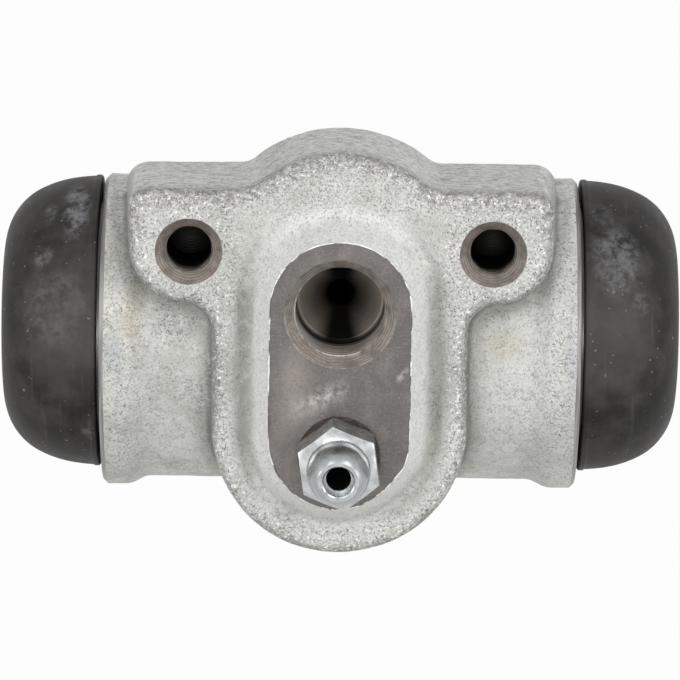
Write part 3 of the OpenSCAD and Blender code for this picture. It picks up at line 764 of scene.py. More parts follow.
# Painted shade on the side walls near the rounded edges
wall = smooth_step(np.abs(leaning[:, 0]), 0.55, 0.92) * smooth_step(np.abs(outline), 1.6 * mm, 0.5 * mm)
wall *= smooth_step(y + BORE_Y, 0.6 * mm, 1.6 * mm) * smooth_step(z, -22.0 * mm, -12.0 * mm)
drag = smooth_step(leaning[:, 2], 0.55, 0.85) * smooth_step(np.abs(outline), 2.2 * mm, 1.3 * mm) * upper
# Painted shade in the crease where barrel and flange meet
crease = 0.85 * smooth_step(join, 0.75 * mm, 0.25 * mm)
crease = np.maximum.reduce([crease, 0.5 * wall, 0.32 * lip])

# The valley round the boss and the join of barrel and flange, darkened greenish as painted shade, and a
# painted highlight on the boss's slope
HOLLOW_AT = 2.75 * mm
side_valley = smooth_step(z, 12.0 * mm, 7.0 * mm)
foot_valley = smooth_step(z, -15.0 * mm, -9.0 * mm)
# Painted shade in the valley round the boss, weak at the top, and along the join of barrel and flange
hollow = front * side_valley * smooth_step(np.abs(from_boss - HOLLOW_AT), 1.3 * mm, 0.1 * mm)
hollow *= 0.1 + 0.9 * foot_valley
hollow = np.maximum(hollow, 0.75 * smooth_step(join, 2.4 * mm, 0.6 * mm))
# Painted highlight on the boss's upward slope and on the face above the boss
above_boss = smooth_step(z, 11.0 * mm, 15.0 * mm) * smooth_step(from_boss, 4.5 * mm, 2.5 * mm)
painted_highlight = front * np.maximum(smooth_step(from_boss, 2.4 * mm, 1.4 * mm), above_boss)

# How coarse the grain is, and where painted glints sparkle on it
coarse = 0.20 + np.maximum.reduce([0.80 * edge, 0.75 * ear_face, 0.45 * ends, 0.80 * foot, 0.65 * hump_face])
glint_share = np.maximum.reduce([1.0 * edge, 0.7 * ear_face, 0.12 * ends, 0.8 * foot, 0.3 * hump_face])

# Stains, and patches of painted light, on the front: across, up from the bore, half width, half height,
# strength
DARK_STAINS = [
    (-18.6 * mm, 4.2 * mm, 3.2 * mm, 3.2 * mm, 0.95),
    (-24.2 * mm, 14.0 * mm, 1.6 * mm, 5.0 * mm, 0.5),
    (10.9 * mm, -5.5 * mm, 0.7 * mm, 3.2 * mm, 0.9),
    (25.3 * mm, 3.0 * mm, 1.2 * mm, 5.0 * mm, 0.6),
    (-18.0 * mm, -14.5 * mm, 3.0 * mm, 1.2 * mm, 0.8),
    (-15.5 * mm, -5.0 * mm, 2.2 * mm, 4.0 * mm, 0.7),
    (-20.5 * mm, -2.5 * mm, 3.2 * mm, 4.5 * mm, 0.5),
    (-7.5 * mm, 22.0 * mm, 3.0 * mm, 2.0 * mm, 0.8),
]
OCHRE_STAINS = [
    (-23.4 * mm, 5.0 * mm, 1.3 * mm, 3.5 * mm, 0.36),
    (18.5 * mm, 2.0 * mm, 2.5 * mm, 1.8 * mm, 0.22),
]
BLUE_STAINS = [
    (25.9 * mm, 1.0 * mm, 0.9 * mm, 3.0 * mm, 0.5),
    (-25.2 * mm, 0.6 * mm, 0.8 * mm, 2.5 * mm, 0.4),
]
# Painted light: patches of the front lightened where the lamps would light it more
LIT_PATCHES = [
    (25.2 * mm, 13.5 * mm, 2.2 * mm, 5.5 * mm, 1.0),
    (20.5 * mm, -5.0 * mm, 5.0 * mm, 6.0 * mm, 0.9),
    (-20.0 * mm, -10.0 * mm, 4.0 * mm, 3.0 * mm, 0.7),
    (-8.7 * mm, -15.6 * mm, 3.0 * mm, 3.0 * mm, 1.0),
    (0.0 * mm, -18.0 * mm, 5.0 * mm, 1.8 * mm, 0.8),
]
STAIN_FADE = (1.3, 0.4)


def stained(stains):
    """How strongly a set of stains covers each point of the casting's front."""
    cover = np.zeros(len(spots))
    for across, above, half_width, half_height, strength in stains:
        far = np.hypot((x - across) / half_width, (z - above) / half_height)
        cover = np.maximum(cover, strength * smooth_step(far, *STAIN_FADE) * (y < 0))
    return cover


dark = stained(DARK_STAINS)
carry(casting, "hollow", hollow)
carry(casting, "drag", drag)
carry(casting, "crease", crease)
carry(casting, "coarse", np.clip(np.maximum(coarse, 0.85 * dark), 0.05, 1))
carry(casting, "specks", np.maximum.reduce([dark, 0.6 - 0.25 * painted_highlight, 0.95 * edge]))
carry(casting, "painted_highlight", np.maximum.reduce([painted_highlight, crest_highlight, stained(LIT_PATCHES)]))
carry(casting, "glint_spots", glint_share)
carry(casting, "scuff_and_edge_shade", np.maximum.reduce([top_band, outer_edge_shade, 0.4 * dark]))
carry(casting, "ochre", stained(OCHRE_STAINS))
carry(casting, "blue", stained(BLUE_STAINS))

# Down the tapped holes: thread rings painted lighter as if lit, the seat, painted shade deep down, and
# painted highlights at the rims
from_port = np.hypot(x, spots[:, 2] - PORT_Z)
from_bolt = np.hypot(np.abs(x) - BOLT_X, spots[:, 2])
port_down = spots[:, 1] - MILLED_Y
at_bolt = from_bolt < 1.2 * BOLT_MOUTH_R
down = np.where(at_bolt, spots[:, 1], port_down)
sideways = smooth_step(np.abs(x), 1.1 * mm, 3.4 * mm)
in_seat = (port_down > PORT_DEPTH - 0.1 * mm) * (from_port > 1.05 * PASSAGE_R) * (from_port < 1.02 * SEAT_R)
in_neck = (port_down > PORT_THREAD_END - 0.1 * mm) * (from_port > 1.02 * SEAT_R)
# Painted shade deep in the port and in its undercut, left lighter at the sides of the seat as if lit there
port_shade = smooth_step(port_down, 5.0 * mm, 6.9 * mm) * (1 - 0.95 * sideways * in_seat)
port_shade = np.maximum(port_shade, 0.97 * in_neck)
# Painted shade deep in the bolt holes
deep = np.where(at_bolt, smooth_step(down, 1.4 * mm, 4.2 * mm), port_shade)
rim = np.abs(port_down - (PORT_MOUTH_R - PORT_R))
# Painted highlight at the inner edge of the port's countersink and, fainter, at the mouths
rim_highlight = 0.9 * smooth_step(rim, 0.16 * mm, 0.03 * mm) * (from_port < 1.1 * PORT_R)
mouth_r = np.where(at_bolt, BOLT_MOUTH_R, PORT_MOUTH_R)
at_mouth = (np.abs(np.where(at_bolt, from_bolt, from_port) - mouth_r) < 0.05 * mm) * (down < 0.03 * mm)
rim_highlight = np.maximum(rim_highlight, 0.35 * at_mouth)
# Painted light on the thread band of the port
lit_thread_band = smooth_step(port_down, 1.3 * mm, 1.5 * mm) * (port_down < PORT_THREAD_END) * (~at_bolt)
carry(casting, "thread", lit_thread_band)
carry(casting, "seat", in_seat)
carry(casting, "radius", np.where(at_bolt, from_bolt, from_port) - 0.4 * down)
carry(casting, "deep", deep)
carry(casting, "rim_highlight", rim_highlight)


def shade_crisp(piece, degrees):
    """Smooth shading, with an edge kept crisp where two faces meet at more than that angle."""
    piece.data.shade_smooth()
    piece.data.set_sharp_from_angle(angle=math.radians(degrees))


shade_crisp(casting, 35)
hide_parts("cylinder_body")
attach(casting, "cylinder")


# The torn edge of the boss
# A thin ragged thread of zinc and iron that the mill left standing along the edge of the boss. It is the
# casting's own metal, too fine for its net, and is laid along that edge.
BURR_R = (0.025 * mm, 0.085 * mm)
BURR_STEP = 0.16 * mm
BURR_WAVE = 1.9 * mm
BURR_SIDES = 5
TORN_NICK = (0.13, 0.12, 0.11)
TORN_BRIGHT = (0.90, 0.89, 0.86)


def rim_between(piece, first, second):
    """The points of the closed line where two finishes of a piece meet, in order."""
    shape = bmesh.new()
    shape.from_mesh(piece.data)
    meeting = [e for e in shape.edges if {f.material_index for f in e.link_faces} == {first, second}]
    ahead = {}
    for line in meeting:
        for here, there in (line.verts, reversed(line.verts)):
            ahead.setdefault(here.index, []).append(there.index)
    start = meeting[0].verts[0].index
    path, before, here = [start], None, start
    while True:
        after = [n for n in ahead[here] if n != before]
        if not after or after[0] == start:
            break
        before, here = here, after[0]
        path.append(here)
    shape.verts.ensure_lookup_table()
    rim_points = np.array([shape.verts[n].co for n in path])
    shape.free()
    return rim_points


def torn_edge(name, path):
    """A thin ragged thread of metal along a closed line on a face that looks out of the mounting side."""
    closed = np.vstack([path, path[:1]])
    gone = np.concatenate([[0], np.cumsum(np.linalg.norm(np.diff(closed, axis=0), axis=1))])
    at = np.arange(0, gone[-1] - BURR_STEP / 2, BURR_STEP)
    route = np.stack([np.interp(at, gone, closed[:, k]) for k in range(3)], 1)
    forward = np.roll(route, -2, axis=0) - np.roll(route, 2, axis=0)
    forward /= np.linalg.norm(forward, axis=1)[:, None]
    outward = np.array(OUT_OF_FACE)
    beside = np.cross(forward, outward)
    ragged = np.array([noise.noise(Vector(p) / BURR_WAVE) for p in route])
    thick = BURR_R[0] + (BURR_R[1] - BURR_R[0]) * np.clip(0.5 + 0.9 * ragged, 0, 1)
    angle = np.arange(BURR_SIDES) * 2 * math.pi / BURR_SIDES
    ring = np.cos(angle)[None, :, None] * beside[:, None] + np.sin(angle)[None, :, None] * outward
    points = (route[:, None] + thick[:, None, None] * ring).reshape(-1, 3)
    faces = []
    for step in range(len(route)):
        near = step * BURR_SIDES
        far = (step + 1) % len(route) * BURR_SIDES
        for k in range(BURR_SIDES):
            n = (k + 1) % BURR_SIDES
            faces.append([near + k, near + n, far + n, far + k])
    return mesh_object(name, points, faces)


def torn_zinc():
    """Bright torn metal with darker nicks."""
    metal = Finish("torn_zinc", metallic=0.6)
    nicks = metal.grain(2.4 * mm, 5, 0.7)
    colour = metal.tint(metal.span(nicks, 0.44, 0.54), TORN_NICK, TORN_BRIGHT)
    return metal.done(colour, metal.span(nicks, 0.3, 0.7, 0.3, 0.45))


burr = torn_edge("boss_burr", rim_between(casting, SKIN, MILLED))
burr.data.materials.append(torn_zinc())
shade_crisp(burr, 80)
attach(burr, "cylinder")


# The bleeder screw
# A zinc-plated steel screw turned from hexagon bar and drilled through. Its cone seals the bleed hole, and
# its barbed nipple takes a hose. It is screwed into the milled face under the port.
HEX_FLAT_R = 4.25 * mm
HEX_CORNER_R = HEX_FLAT_R / math.cos(math.radians(30))
HEX_TURN = math.radians(98)
HEX_FOOT = 1.0 * mm
HEX_TOP = HEX_FOOT + 4.7 * mm
HEX_CHAMFER_H = 0.75 * mm
HEX_CHAMFER_W = 1.5 * mm
HEX_FOOT_CHAMFER = 0.3 * mm
NIPPLE_TOP = HEX_TOP + 4.6 * mm
NIPPLE_R = 3.45 * mm
NIPPLE_TIP_R = 2.55 * mm
NIPPLE_ROUND = 5.4 * mm
NIPPLE_NECK_R = 3.3 * mm
NIPPLE_NECK_H = 0.12 * mm
NIPPLE_SLOPE = 0.12 * mm
NIPPLE_BEVEL = 0.3 * mm
SCREW_R = 3.45 * mm
SCREW_NECK_R = 2.75 * mm
SCREW_TIP_R = 1.7 * mm
SCREW_FOOT = -10.05 * mm
SCREW_THREAD_TOP = -1.6 * mm
SCREW_PITCH = 1.0 * mm
SCREW_THREAD_H = 0.4 * mm
SCREW_SEGMENTS = 96
HOLE_R = 1.4 * mm
HOLE_MOUTH_R = 1.7 * mm
HOLE_MOUTH_H = 1.6 * mm
HOLE_BEVEL = 0.15 * mm
HOLE_FOOT = -8.2 * mm
CROSS_HOLE_R = 0.85 * mm
CROSS_HOLE_HALF = 5 * mm
ROOT_SHARP = 0.05 * mm
ROOT_SOFT = 0.20 * mm
STEEL_DULL = (0.42, 0.435, 0.44)
STEEL_BRIGHT = (0.60, 0.61, 0.615)
STEEL_NIPPLE_SHADE = (0.33, 0.345, 0.35)
STEEL_ROOT_SHADE = (0.05, 0.05, 0.048)
DRILLED_SHADE = (0.012, 0.012, 0.011)
DRILLED_SHADE_PALE = (0.035, 0.034, 0.032)
screw_place = (0, MILLED_Y, BLEED_Z)


def drilled_steel():
    """The drilling through the screw, painted near black as the shade down the hole."""
    wall = Finish("drilled_steel", metallic=0.3)
    stain = wall.grain(0.8 * mm, 3)
    # Painted shade: near black all down the drilled hole
    colour = wall.tint(wall.span(stain, 0.3, 0.7), DRILLED_SHADE, DRILLED_SHADE_PALE)
    return wall.done(colour, wall.span(stain, 0.3, 0.7, 0.45, 0.6))


def bright_zinc():
    """Bright zinc over turned steel, with fine turning marks, a nipple painted darker as the shade on it,
    and painted shade at its root.
    """
    plate = Finish("bright_zinc", metallic=1.0)
    clouds = plate.grain(1.2 * mm, 3)
    colour = plate.tint(plate.span(clouds, 0.3, 0.7), STEEL_DULL, STEEL_BRIGHT)
    out = plate.math("MULTIPLY_ADD", plate.axis("Y"), -1.0, MILLED_Y)
    above = plate.math("SUBTRACT", plate.axis("Z"), BLEED_Z)
    from_middle = plate.math("SQRT", plate.math("MULTIPLY_ADD", plate.axis("X"), plate.axis("X"),
                                                plate.math("MULTIPLY", above, above)))
    # Painted shade: the nipple is darker than the hexagon, standing in for its darker reflection
    nipple_shade = plate.span(out, HEX_TOP + ROOT_SHARP, HEX_TOP + ROOT_SOFT, 0, 0.8)
    colour = plate.tint(nipple_shade, colour, STEEL_NIPPLE_SHADE)
    # Painted shade in the groove at the nipple's root
    off_root = plate.math("ABSOLUTE", plate.math("SUBTRACT", out, HEX_TOP + ROOT_SHARP))
    near_nipple = plate.span(from_middle, NIPPLE_R + ROOT_SOFT, NIPPLE_R + ROOT_SHARP, 0, 0.85)
    root_shade = plate.math("MULTIPLY", plate.span(off_root, ROOT_SOFT, ROOT_SHARP), near_nipple)
    colour = plate.tint(root_shade, colour, STEEL_ROOT_SHADE)
    marks = plate.grain(0.12 * mm, 2, 0.5, (0.25, 1, 0.25))
    return plate.done(colour, plate.span(clouds, 0.3, 0.7, 0.22, 0.32), plate.relief(marks, 0.004 * mm))


hexagon = [(HEX_FOOT, 0), (HEX_FOOT, HEX_CORNER_R), (HEX_TOP, HEX_CORNER_R), (HEX_TOP, 0)]
screw = turned("bleeder_screw_visual", hexagon, screw_place, OUT_OF_FACE, 6, HEX_TURN)
screw.data.materials.append(bright_zinc())
screw.data.materials.append(drilled_steel())
hex_turning = [
    (HEX_FOOT - RUN_OUT, 0), (HEX_FOOT - RUN_OUT, HEX_CORNER_R - HEX_FOOT_CHAMFER - RUN_OUT),
    (HEX_FOOT + HEX_FOOT_CHAMFER + RUN_OUT, HEX_CORNER_R + RUN_OUT),
    (HEX_TOP - HEX_CHAMFER_H - 0.5 * HEX_CHAMFER_H, HEX_CORNER_R + 0.5 * HEX_CHAMFER_W),
    (HEX_TOP + 0.5 * HEX_CHAMFER_H, HEX_CORNER_R - 1.5 * HEX_CHAMFER_W), (HEX_TOP + 0.5 * HEX_CHAMFER_H, 0),
]
machine(screw, turned("hex_turning", hex_turning, screw_place, OUT_OF_FACE, 192), 0, "INTERSECT")

sweep = math.acos(1 - (NIPPLE_R - NIPPLE_TIP_R) / NIPPLE_ROUND)
shoulder = NIPPLE_TOP - NIPPLE_BEVEL - NIPPLE_ROUND * math.sin(sweep)
nipple = [
    (HEX_TOP - RUN_OUT, 0), (HEX_TOP - RUN_OUT, NIPPLE_NECK_R), (HEX_TOP + NIPPLE_NECK_H, NIPPLE_NECK_R),
    (HEX_TOP + NIPPLE_NECK_H + NIPPLE_SLOPE, NIPPLE_R),
]
for bend in np.linspace(0, sweep, 12):
    nipple.append((shoulder + NIPPLE_ROUND * math.sin(bend), NIPPLE_R - NIPPLE_ROUND * (1 - math.cos(bend))))
nipple += [(NIPPLE_TOP, NIPPLE_TIP_R - NIPPLE_BEVEL), (NIPPLE_TOP, 0)]
machine(screw, turned("nipple", nipple, screw_place, OUT_OF_FACE, 128), 0, "UNION")

turn = np.arange(SCREW_SEGMENTS) / SCREW_SEGMENTS
shank = [(SCREW_FOOT - SCREW_R + SCREW_TIP_R, 0), (SCREW_FOOT - SCREW_R + SCREW_TIP_R, SCREW_TIP_R)]
for height in np.arange(SCREW_FOOT, SCREW_THREAD_TOP, SCREW_PITCH / THREAD_STEPS):
    phase = (height / SCREW_PITCH + turn) % 1
    runout = min(1.0, (height - SCREW_FOOT) / SCREW_PITCH, (SCREW_THREAD_TOP - height) / SCREW_PITCH)
    shank.append((height, SCREW_R - SCREW_THREAD_H * runout * thread_form(phase)))
shank += [(SCREW_THREAD_TOP, SCREW_R), (SCREW_THREAD_TOP + SCREW_PITCH / 2, SCREW_NECK_R)]
shank += [(HEX_FOOT + RUN_OUT, SCREW_NECK_R), (HEX_FOOT + RUN_OUT, 0)]
machine(screw, turned("shank", shank, screw_place, OUT_OF_FACE, SCREW_SEGMENTS), 0, "UNION")

hole = [(HOLE_FOOT, 0), (HOLE_FOOT, HOLE_R), (NIPPLE_TOP + RUN_OUT, HOLE_R), (NIPPLE_TOP + RUN_OUT, 0)]
machine(screw, turned("hole", hole, screw_place, OUT_OF_FACE, 96), 1)
mouth_foot = NIPPLE_TOP - HOLE_MOUTH_H
mouth = [
    (mouth_foot, 0), (mouth_foot, HOLE_MOUTH_R), (NIPPLE_TOP - HOLE_BEVEL, HOLE_MOUTH_R),
    (NIPPLE_TOP + RUN_OUT, HOLE_MOUTH_R + HOLE_BEVEL + RUN_OUT), (NIPPLE_TOP + RUN_OUT, 0),
]
machine(screw, turned("mouth", mouth, screw_place, OUT_OF_FACE, 96), 0)
cross_hole = [
    (-CROSS_HOLE_HALF, 0), (-CROSS_HOLE_HALF, CROSS_HOLE_R),
    (CROSS_HOLE_HALF, CROSS_HOLE_R), (CROSS_HOLE_HALF, 0),
]
cross_at = (0, MILLED_Y - HOLE_FOOT - CROSS_HOLE_R, BLEED_Z)
machine(screw, turned("cross_hole", cross_hole, cross_at, (0, 0, 1), 48), 0)
shade_crisp(screw, 28)
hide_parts("bleeder_screw")
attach(screw, "bleeder")


# The return spring
# One coil of spring steel wire with a closed turn at each end. It sits in the bore between the two
# expanders, and is made in two halves, one on each side.
WIRE_R = 0.7 * mm
COIL_R = 6.8 * mm
COIL_TURNS = 6
COIL_CLOSE = 1.48 * mm
SPRING_END = 11.3 * mm
STEPS_PER_TURN = 40
WIRE_SIDES = 12
WIRE_DARK = (0.13, 0.13, 0.135)
WIRE_PALE = (0.22, 0.215, 0.21)


def spring_wire():
    """Drawn spring steel, dark from its tempering, with fine drawing lines."""
    wire = Finish("spring_wire", metallic=1.0)
    lines = wire.grain(0.3 * mm, 3)
    colour = wire.tint(wire.span(lines, 0.3, 0.7), WIRE_DARK, WIRE_PALE)
    return wire.done(colour, wire.span(lines, 0.3, 0.7, 0.3, 0.45), wire.relief(lines, 0.01 * mm))


def coil_height(turns):
    """How far along the bore the wire has come after so many turns from the left end."""
    half = SPRING_END - WIRE_R
    pitch = (2 * half - 2 * COIL_CLOSE) / (COIL_TURNS - 2)
    return np.interp(turns, [0, 1, COIL_TURNS - 1, COIL_TURNS],
                     [-half, COIL_CLOSE - half, COIL_CLOSE - half + (COIL_TURNS - 2) * pitch, half])


def wire_tube(name, route):
    """A closed tube of the wire's thickness along a row of points."""
    ahead = np.gradient(route, axis=0)
    ahead /= np.linalg.norm(ahead, axis=1)[:, None]
    outward = route - np.array(bore_middle)
    outward[:, 0] = 0
    outward -= (outward * ahead).sum(1)[:, None] * ahead
    outward /= np.linalg.norm(outward, axis=1)[:, None]
    beside = np.cross(ahead, outward)
    angle = np.arange(WIRE_SIDES) * 2 * math.pi / WIRE_SIDES
    ring = np.cos(angle)[None, :, None] * outward[:, None] + np.sin(angle)[None, :, None] * beside[:, None]
    points = (route[:, None] + WIRE_R * ring).reshape(-1, 3)
    faces = [list(range(WIRE_SIDES))[::-1], [len(points) - WIRE_SIDES + k for k in range(WIRE_SIDES)]]
    for step in range(len(route) - 1):
        for k in range(WIRE_SIDES):
            n = (k + 1) % WIRE_SIDES
            near = step * WIRE_SIDES
            faces.append([near + k, near + n, near + WIRE_SIDES + n, near + WIRE_SIDES + k])
    return mesh_object(name, points, faces)


spring_finish = spring_wire()
for side, name in ((-1, "left"), (1, "right")):
    span = (0, COIL_TURNS / 2) if side < 0 else (COIL_TURNS / 2, COIL_TURNS)
    turns = np.linspace(*span, STEPS_PER_TURN * COIL_TURNS // 2 + 1)
    around = 2 * math.pi * turns
    route_y = BORE_Y + COIL_R * np.cos(around)
    route_z = BORE_Z + COIL_R * np.sin(around)
    route = np.stack([coil_height(turns), route_y, route_z], 1)
    half_spring = wire_tube(name + "_spring_half", route)
    half_spring.data.materials.append(spring_finish)
    shade_crisp(half_spring, 40)
    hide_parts("return_spring")
    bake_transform(half_spring)


# Expanders, cups and pistons
# Each side has a pressed steel expander that carries the spring, a rubber cup that seals the bore, and a
# turned alloy piston whose slotted nose takes the brake shoe. They lie loose behind each other in the bore.
SHEET_DULL = (0.40, 0.40, 0.39)
SHEET_BRIGHT = (0.52, 0.52, 0.50)
CUP_BLACK = (0.018, 0.018, 0.018)
CUP_FILM = (0.032, 0.031, 0.030)
ALLOY_DULL = (0.36, 0.35, 0.32)
ALLOY_PALE = (0.44, 0.425, 0.39)


def pressed_steel():
    """Pressed sheet steel, bright, with faint drawing marks."""
    sheet = Finish("pressed_steel", metallic=1.0)
    marks = sheet.grain(0.8 * mm, 3)
    colour = sheet.tint(sheet.span(marks, 0.3, 0.7), SHEET_DULL, SHEET_BRIGHT)
    return sheet.done(colour, sheet.span(marks, 0.3, 0.7, 0.28, 0.42), sheet.relief(marks, 0.01 * mm))


def cup_rubber():
    """Black sealing rubber, smooth, with a thin film of brake fluid."""
    rubber = Finish("cup_rubber")
    film = rubber.grain(2.0 * mm, 3)
    colour = rubber.tint(rubber.span(film, 0.3, 0.7), CUP_BLACK, CUP_FILM)
    return rubber.done(colour, rubber.span(film, 0.3, 0.7, 0.3, 0.5), rubber.relief(film, 0.01 * mm))


def piston_alloy():
    """Turned alloy, dull after anodising, with fine rings from the lathe."""
    alloy = Finish("piston_alloy", metallic=0.9)
    rings = alloy.grain(0.16 * mm, 2, 0.5, (1, 0.02, 0.02))
    clouds = alloy.grain(3.0 * mm, 3)
    colour = alloy.tint(alloy.span(clouds, 0.3, 0.7), ALLOY_DULL, ALLOY_PALE)
    return alloy.done(colour, alloy.span(clouds, 0.3, 0.7, 0.32, 0.45), alloy.relief(rings, 0.008 * mm))


for part, finish in (("expander", pressed_steel()), ("cup", cup_rubber()), ("piston", piston_alloy())):
    for name in ("left", "right"):
        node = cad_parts[name + "_" + part]
        node.data.materials.clear()
        node.data.materials.append(finish)


# The boots
# Two moulded rubber caps that keep dust out. The bead of each grips the groove of the neck, its inner
# collar sits in the groove of the piston's nose, and handling has left pale smudges on the black.
BOOT_START = 27.55 * mm
BOOT_R = 16.7 * mm
BOOT_LIP_R = 16.82 * mm
BOOT_LIP_W = 0.6 * mm
BOOT_CORNER = 7.4 * mm
BOOT_CORNER_AT = 3.65 * mm
BOOT_CORNER_R = 8.6 * mm
BOOT_WALL = 1.8 * mm
BOOT_BEVEL = 0.15 * mm
BOOT_END = 11.1 * mm
BOOT_SEAT_R = 13.75 * mm
BEAD_R = 12.95 * mm
BEAD_FROM = 1.0 * mm
BEAD_TO = 2.5 * mm
NOSE_HOLE_R = 7.3 * mm
NOSE_BEAD_R = 6.3 * mm
NOSE_BEAD_FROM = 7.8 * mm
NOSE_BEAD_TO = 9.2 * mm
NOSE_COLLAR_FROM = 7.5 * mm
NOSE_COLLAR_R = 9.4 * mm
BOOT_ARC_DEG = (24, 90)


def corner_arc(radius, start, stop, count):
    """Points of the boot's corner, as (along, radius), from start to stop in degrees off the radius."""
    bends = np.radians(np.linspace(start, stop, count))
    return [(BOOT_CORNER_AT + radius * math.sin(b), BOOT_CORNER_R + radius * math.cos(b)) for b in bends]


def boot_profile():
    """Closed section of a boot: lip, side, corner, hole for the nose, and back along the inside."""
    side_from = BOOT_LIP_W + BOOT_BEVEL
    arc = corner_arc(BOOT_CORNER, *BOOT_ARC_DEG, 30)
    side = []
    for share in np.linspace(0, 1, 16)[:-1]:
        along = side_from + share * (arc[0][0] - side_from)
        fall = (BOOT_R - arc[0][1]) * (0.30 * share + 0.70 * share**2.6)
        side.append((along, BOOT_R - fall))
    inner_r = BOOT_CORNER - BOOT_WALL
    inside_turn = math.degrees(math.acos((NOSE_COLLAR_R - BOOT_CORNER_R) / inner_r))
    return [
        (0, BOOT_SEAT_R), (0, BOOT_LIP_R - BOOT_BEVEL), (BOOT_BEVEL, BOOT_LIP_R), (BOOT_LIP_W, BOOT_LIP_R),
        *side, *arc,
        (BOOT_END, NOSE_HOLE_R + BOOT_BEVEL), (BOOT_END - BOOT_BEVEL, NOSE_HOLE_R),
        (NOSE_BEAD_TO, NOSE_HOLE_R), (NOSE_BEAD_TO, NOSE_BEAD_R), (NOSE_BEAD_FROM, NOSE_BEAD_R),
        (NOSE_BEAD_FROM, NOSE_HOLE_R), (NOSE_COLLAR_FROM, NOSE_HOLE_R), (NOSE_COLLAR_FROM, NOSE_COLLAR_R),
        *corner_arc(inner_r, inside_turn, 0, 14),
        (BEAD_TO, BOOT_CORNER_R + inner_r + 0.2 * mm), (BEAD_TO, BEAD_R), (BEAD_FROM, BEAD_R),
        (BEAD_FROM, BOOT_SEAT_R),
    ]


def lathed(name, profile, foot, along, segments):
    """A ring turned about an axis from a closed section of (height, radius) points."""
    along = Vector(along)
    across = Vector((0, 1, 0))
    angle = np.arange(segments) * 2 * math.pi / segments
    ring = np.outer(np.cos(angle), across) + np.outer(np.sin(angle), along.cross(across))
    points = []
    for height, radius in profile:
        points.extend(np.array(Vector(foot) + along * height) + radius * ring)
    faces = []
    for row in range(len(profile)):
        near = row * segments
        far = (row + 1) % len(profile) * segments
        for k in range(segments):
            n = (k + 1) % segments
            faces.append([near + k, near + n, far + n, far + k])
    return mesh_object(name, points, faces)


RUBBER_BLACK = (0.015, 0.0145, 0.014)
RUBBER_BROWN = (0.040, 0.036, 0.032)
RUBBER_SHEEN = (0.098, 0.092, 0.084)
RUBBER_DUST = (0.19, 0.19, 0.20)


def boot_rubber():
    """Matt black rubber with a brownish bloom, a painted sheen on the side that faces the front, pale
    smudges from handling and scattered specks of dust.
    """
    rubber = Finish("boot_rubber", specular=0.1)
    bloom = rubber.grain(3.5 * mm, 4, 0.6)
    colour = rubber.tint(rubber.span(bloom, 0.35, 0.70), RUBBER_BLACK, RUBBER_BROWN)
    # Painted sheen on the front-facing side of the boot
    colour = rubber.tint(rubber.mark("front_sheen"), colour, RUBBER_SHEEN)
    runs = rubber.grain(0.8 * mm, 3, 0.6, (1, 0.07, 0.07))
    colour = rubber.tint(rubber.span(runs, 0.55, 0.80, 0, 0.09), colour, RUBBER_DUST)
    break_up = rubber.grain(1.3 * mm, 6, 0.74)
    smudge = rubber.math("MULTIPLY", rubber.mark("dust"), rubber.span(break_up, 0.38, 0.66))
    colour = rubber.tint(smudge, colour, RUBBER_DUST)
    specks = rubber.span(rubber.grain(0.5 * mm, 1, 0.5), 0.735, 0.78, 0, 0.8)
    colour = rubber.tint(specks, colour, RUBBER_DUST)
    normal = rubber.relief(rubber.grain(0.25 * mm, 3), 0.018 * mm)
    return rubber.done(colour, rubber.span(bloom, 0.3, 0.7, 0.42, 0.58), normal)


# Each smudge: distance from the lip, degrees up from the mounting side, half length, half angle, strength
LEFT_SMUDGES = [
    (2.5 * mm, 66, 1.5 * mm, 17, 0.85), (5.5 * mm, 64, 0.8 * mm, 6, 0.45), (6.0 * mm, 41, 1.0 * mm, 5, 0.55),
    (4.5 * mm, 20, 3.6 * mm, 16, 0.28), (0.9 * mm, -34, 0.7 * mm, 5, 0.5),
]
RIGHT_SMUDGES = [
    (3.6 * mm, 42, 2.8 * mm, 15, 0.62), (6.4 * mm, 24, 1.0 * mm, 5, 0.4), (2.0 * mm, 62, 1.4 * mm, 8, 0.3),
]
SMUDGE_FADE = (1.35, 0.55)
DUST_ALL_OVER = 0.02
SHEEN_RISE_DEG = 14
SHEEN_SPREAD_DEG = (40, 6)
SHEEN_REACH = (9.0 * mm, 4.5 * mm)
SHEEN_SHARE = 0.42
BOOT_SEGMENTS = 224
boot_finish = boot_rubber()
for side, name, smudges in ((-1, "left", LEFT_SMUDGES), (1, "right", RIGHT_SMUDGES)):
    lip_middle = bore_middle + Vector((side * BOOT_START, 0, 0))
    boot = lathed(name + "_boot_visual", boot_profile(), lip_middle, (side, 0, 0), BOOT_SEGMENTS)
    boot.data.materials.append(boot_finish)
    places = np.array([v.co for v in boot.data.vertices])
    along = np.abs(places[:, 0]) - BOOT_START
    rise = np.degrees(np.arctan2(places[:, 2] - BORE_Z, BORE_Y - places[:, 1]))
    dust = np.full(len(places), DUST_ALL_OVER)
    for at, angle, half_length, half_angle, strength in smudges:
        far = np.hypot((along - at) / half_length, (rise - angle) / half_angle)
        dust = np.maximum(dust, strength * smooth_step(far, *SMUDGE_FADE))
    carry(boot, "dust", dust)
    # Painted sheen: a band a little above the mounting side, towards the far end of the boot
    front_sheen = smooth_step(np.abs(rise - SHEEN_RISE_DEG), *SHEEN_SPREAD_DEG) * smooth_step(along, *SHEEN_REACH)
    carry(boot, "front_sheen", SHEEN_SHARE * front_sheen)
    shade_crisp(boot, 35)
    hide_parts(name + "_boot")
    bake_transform(boot)


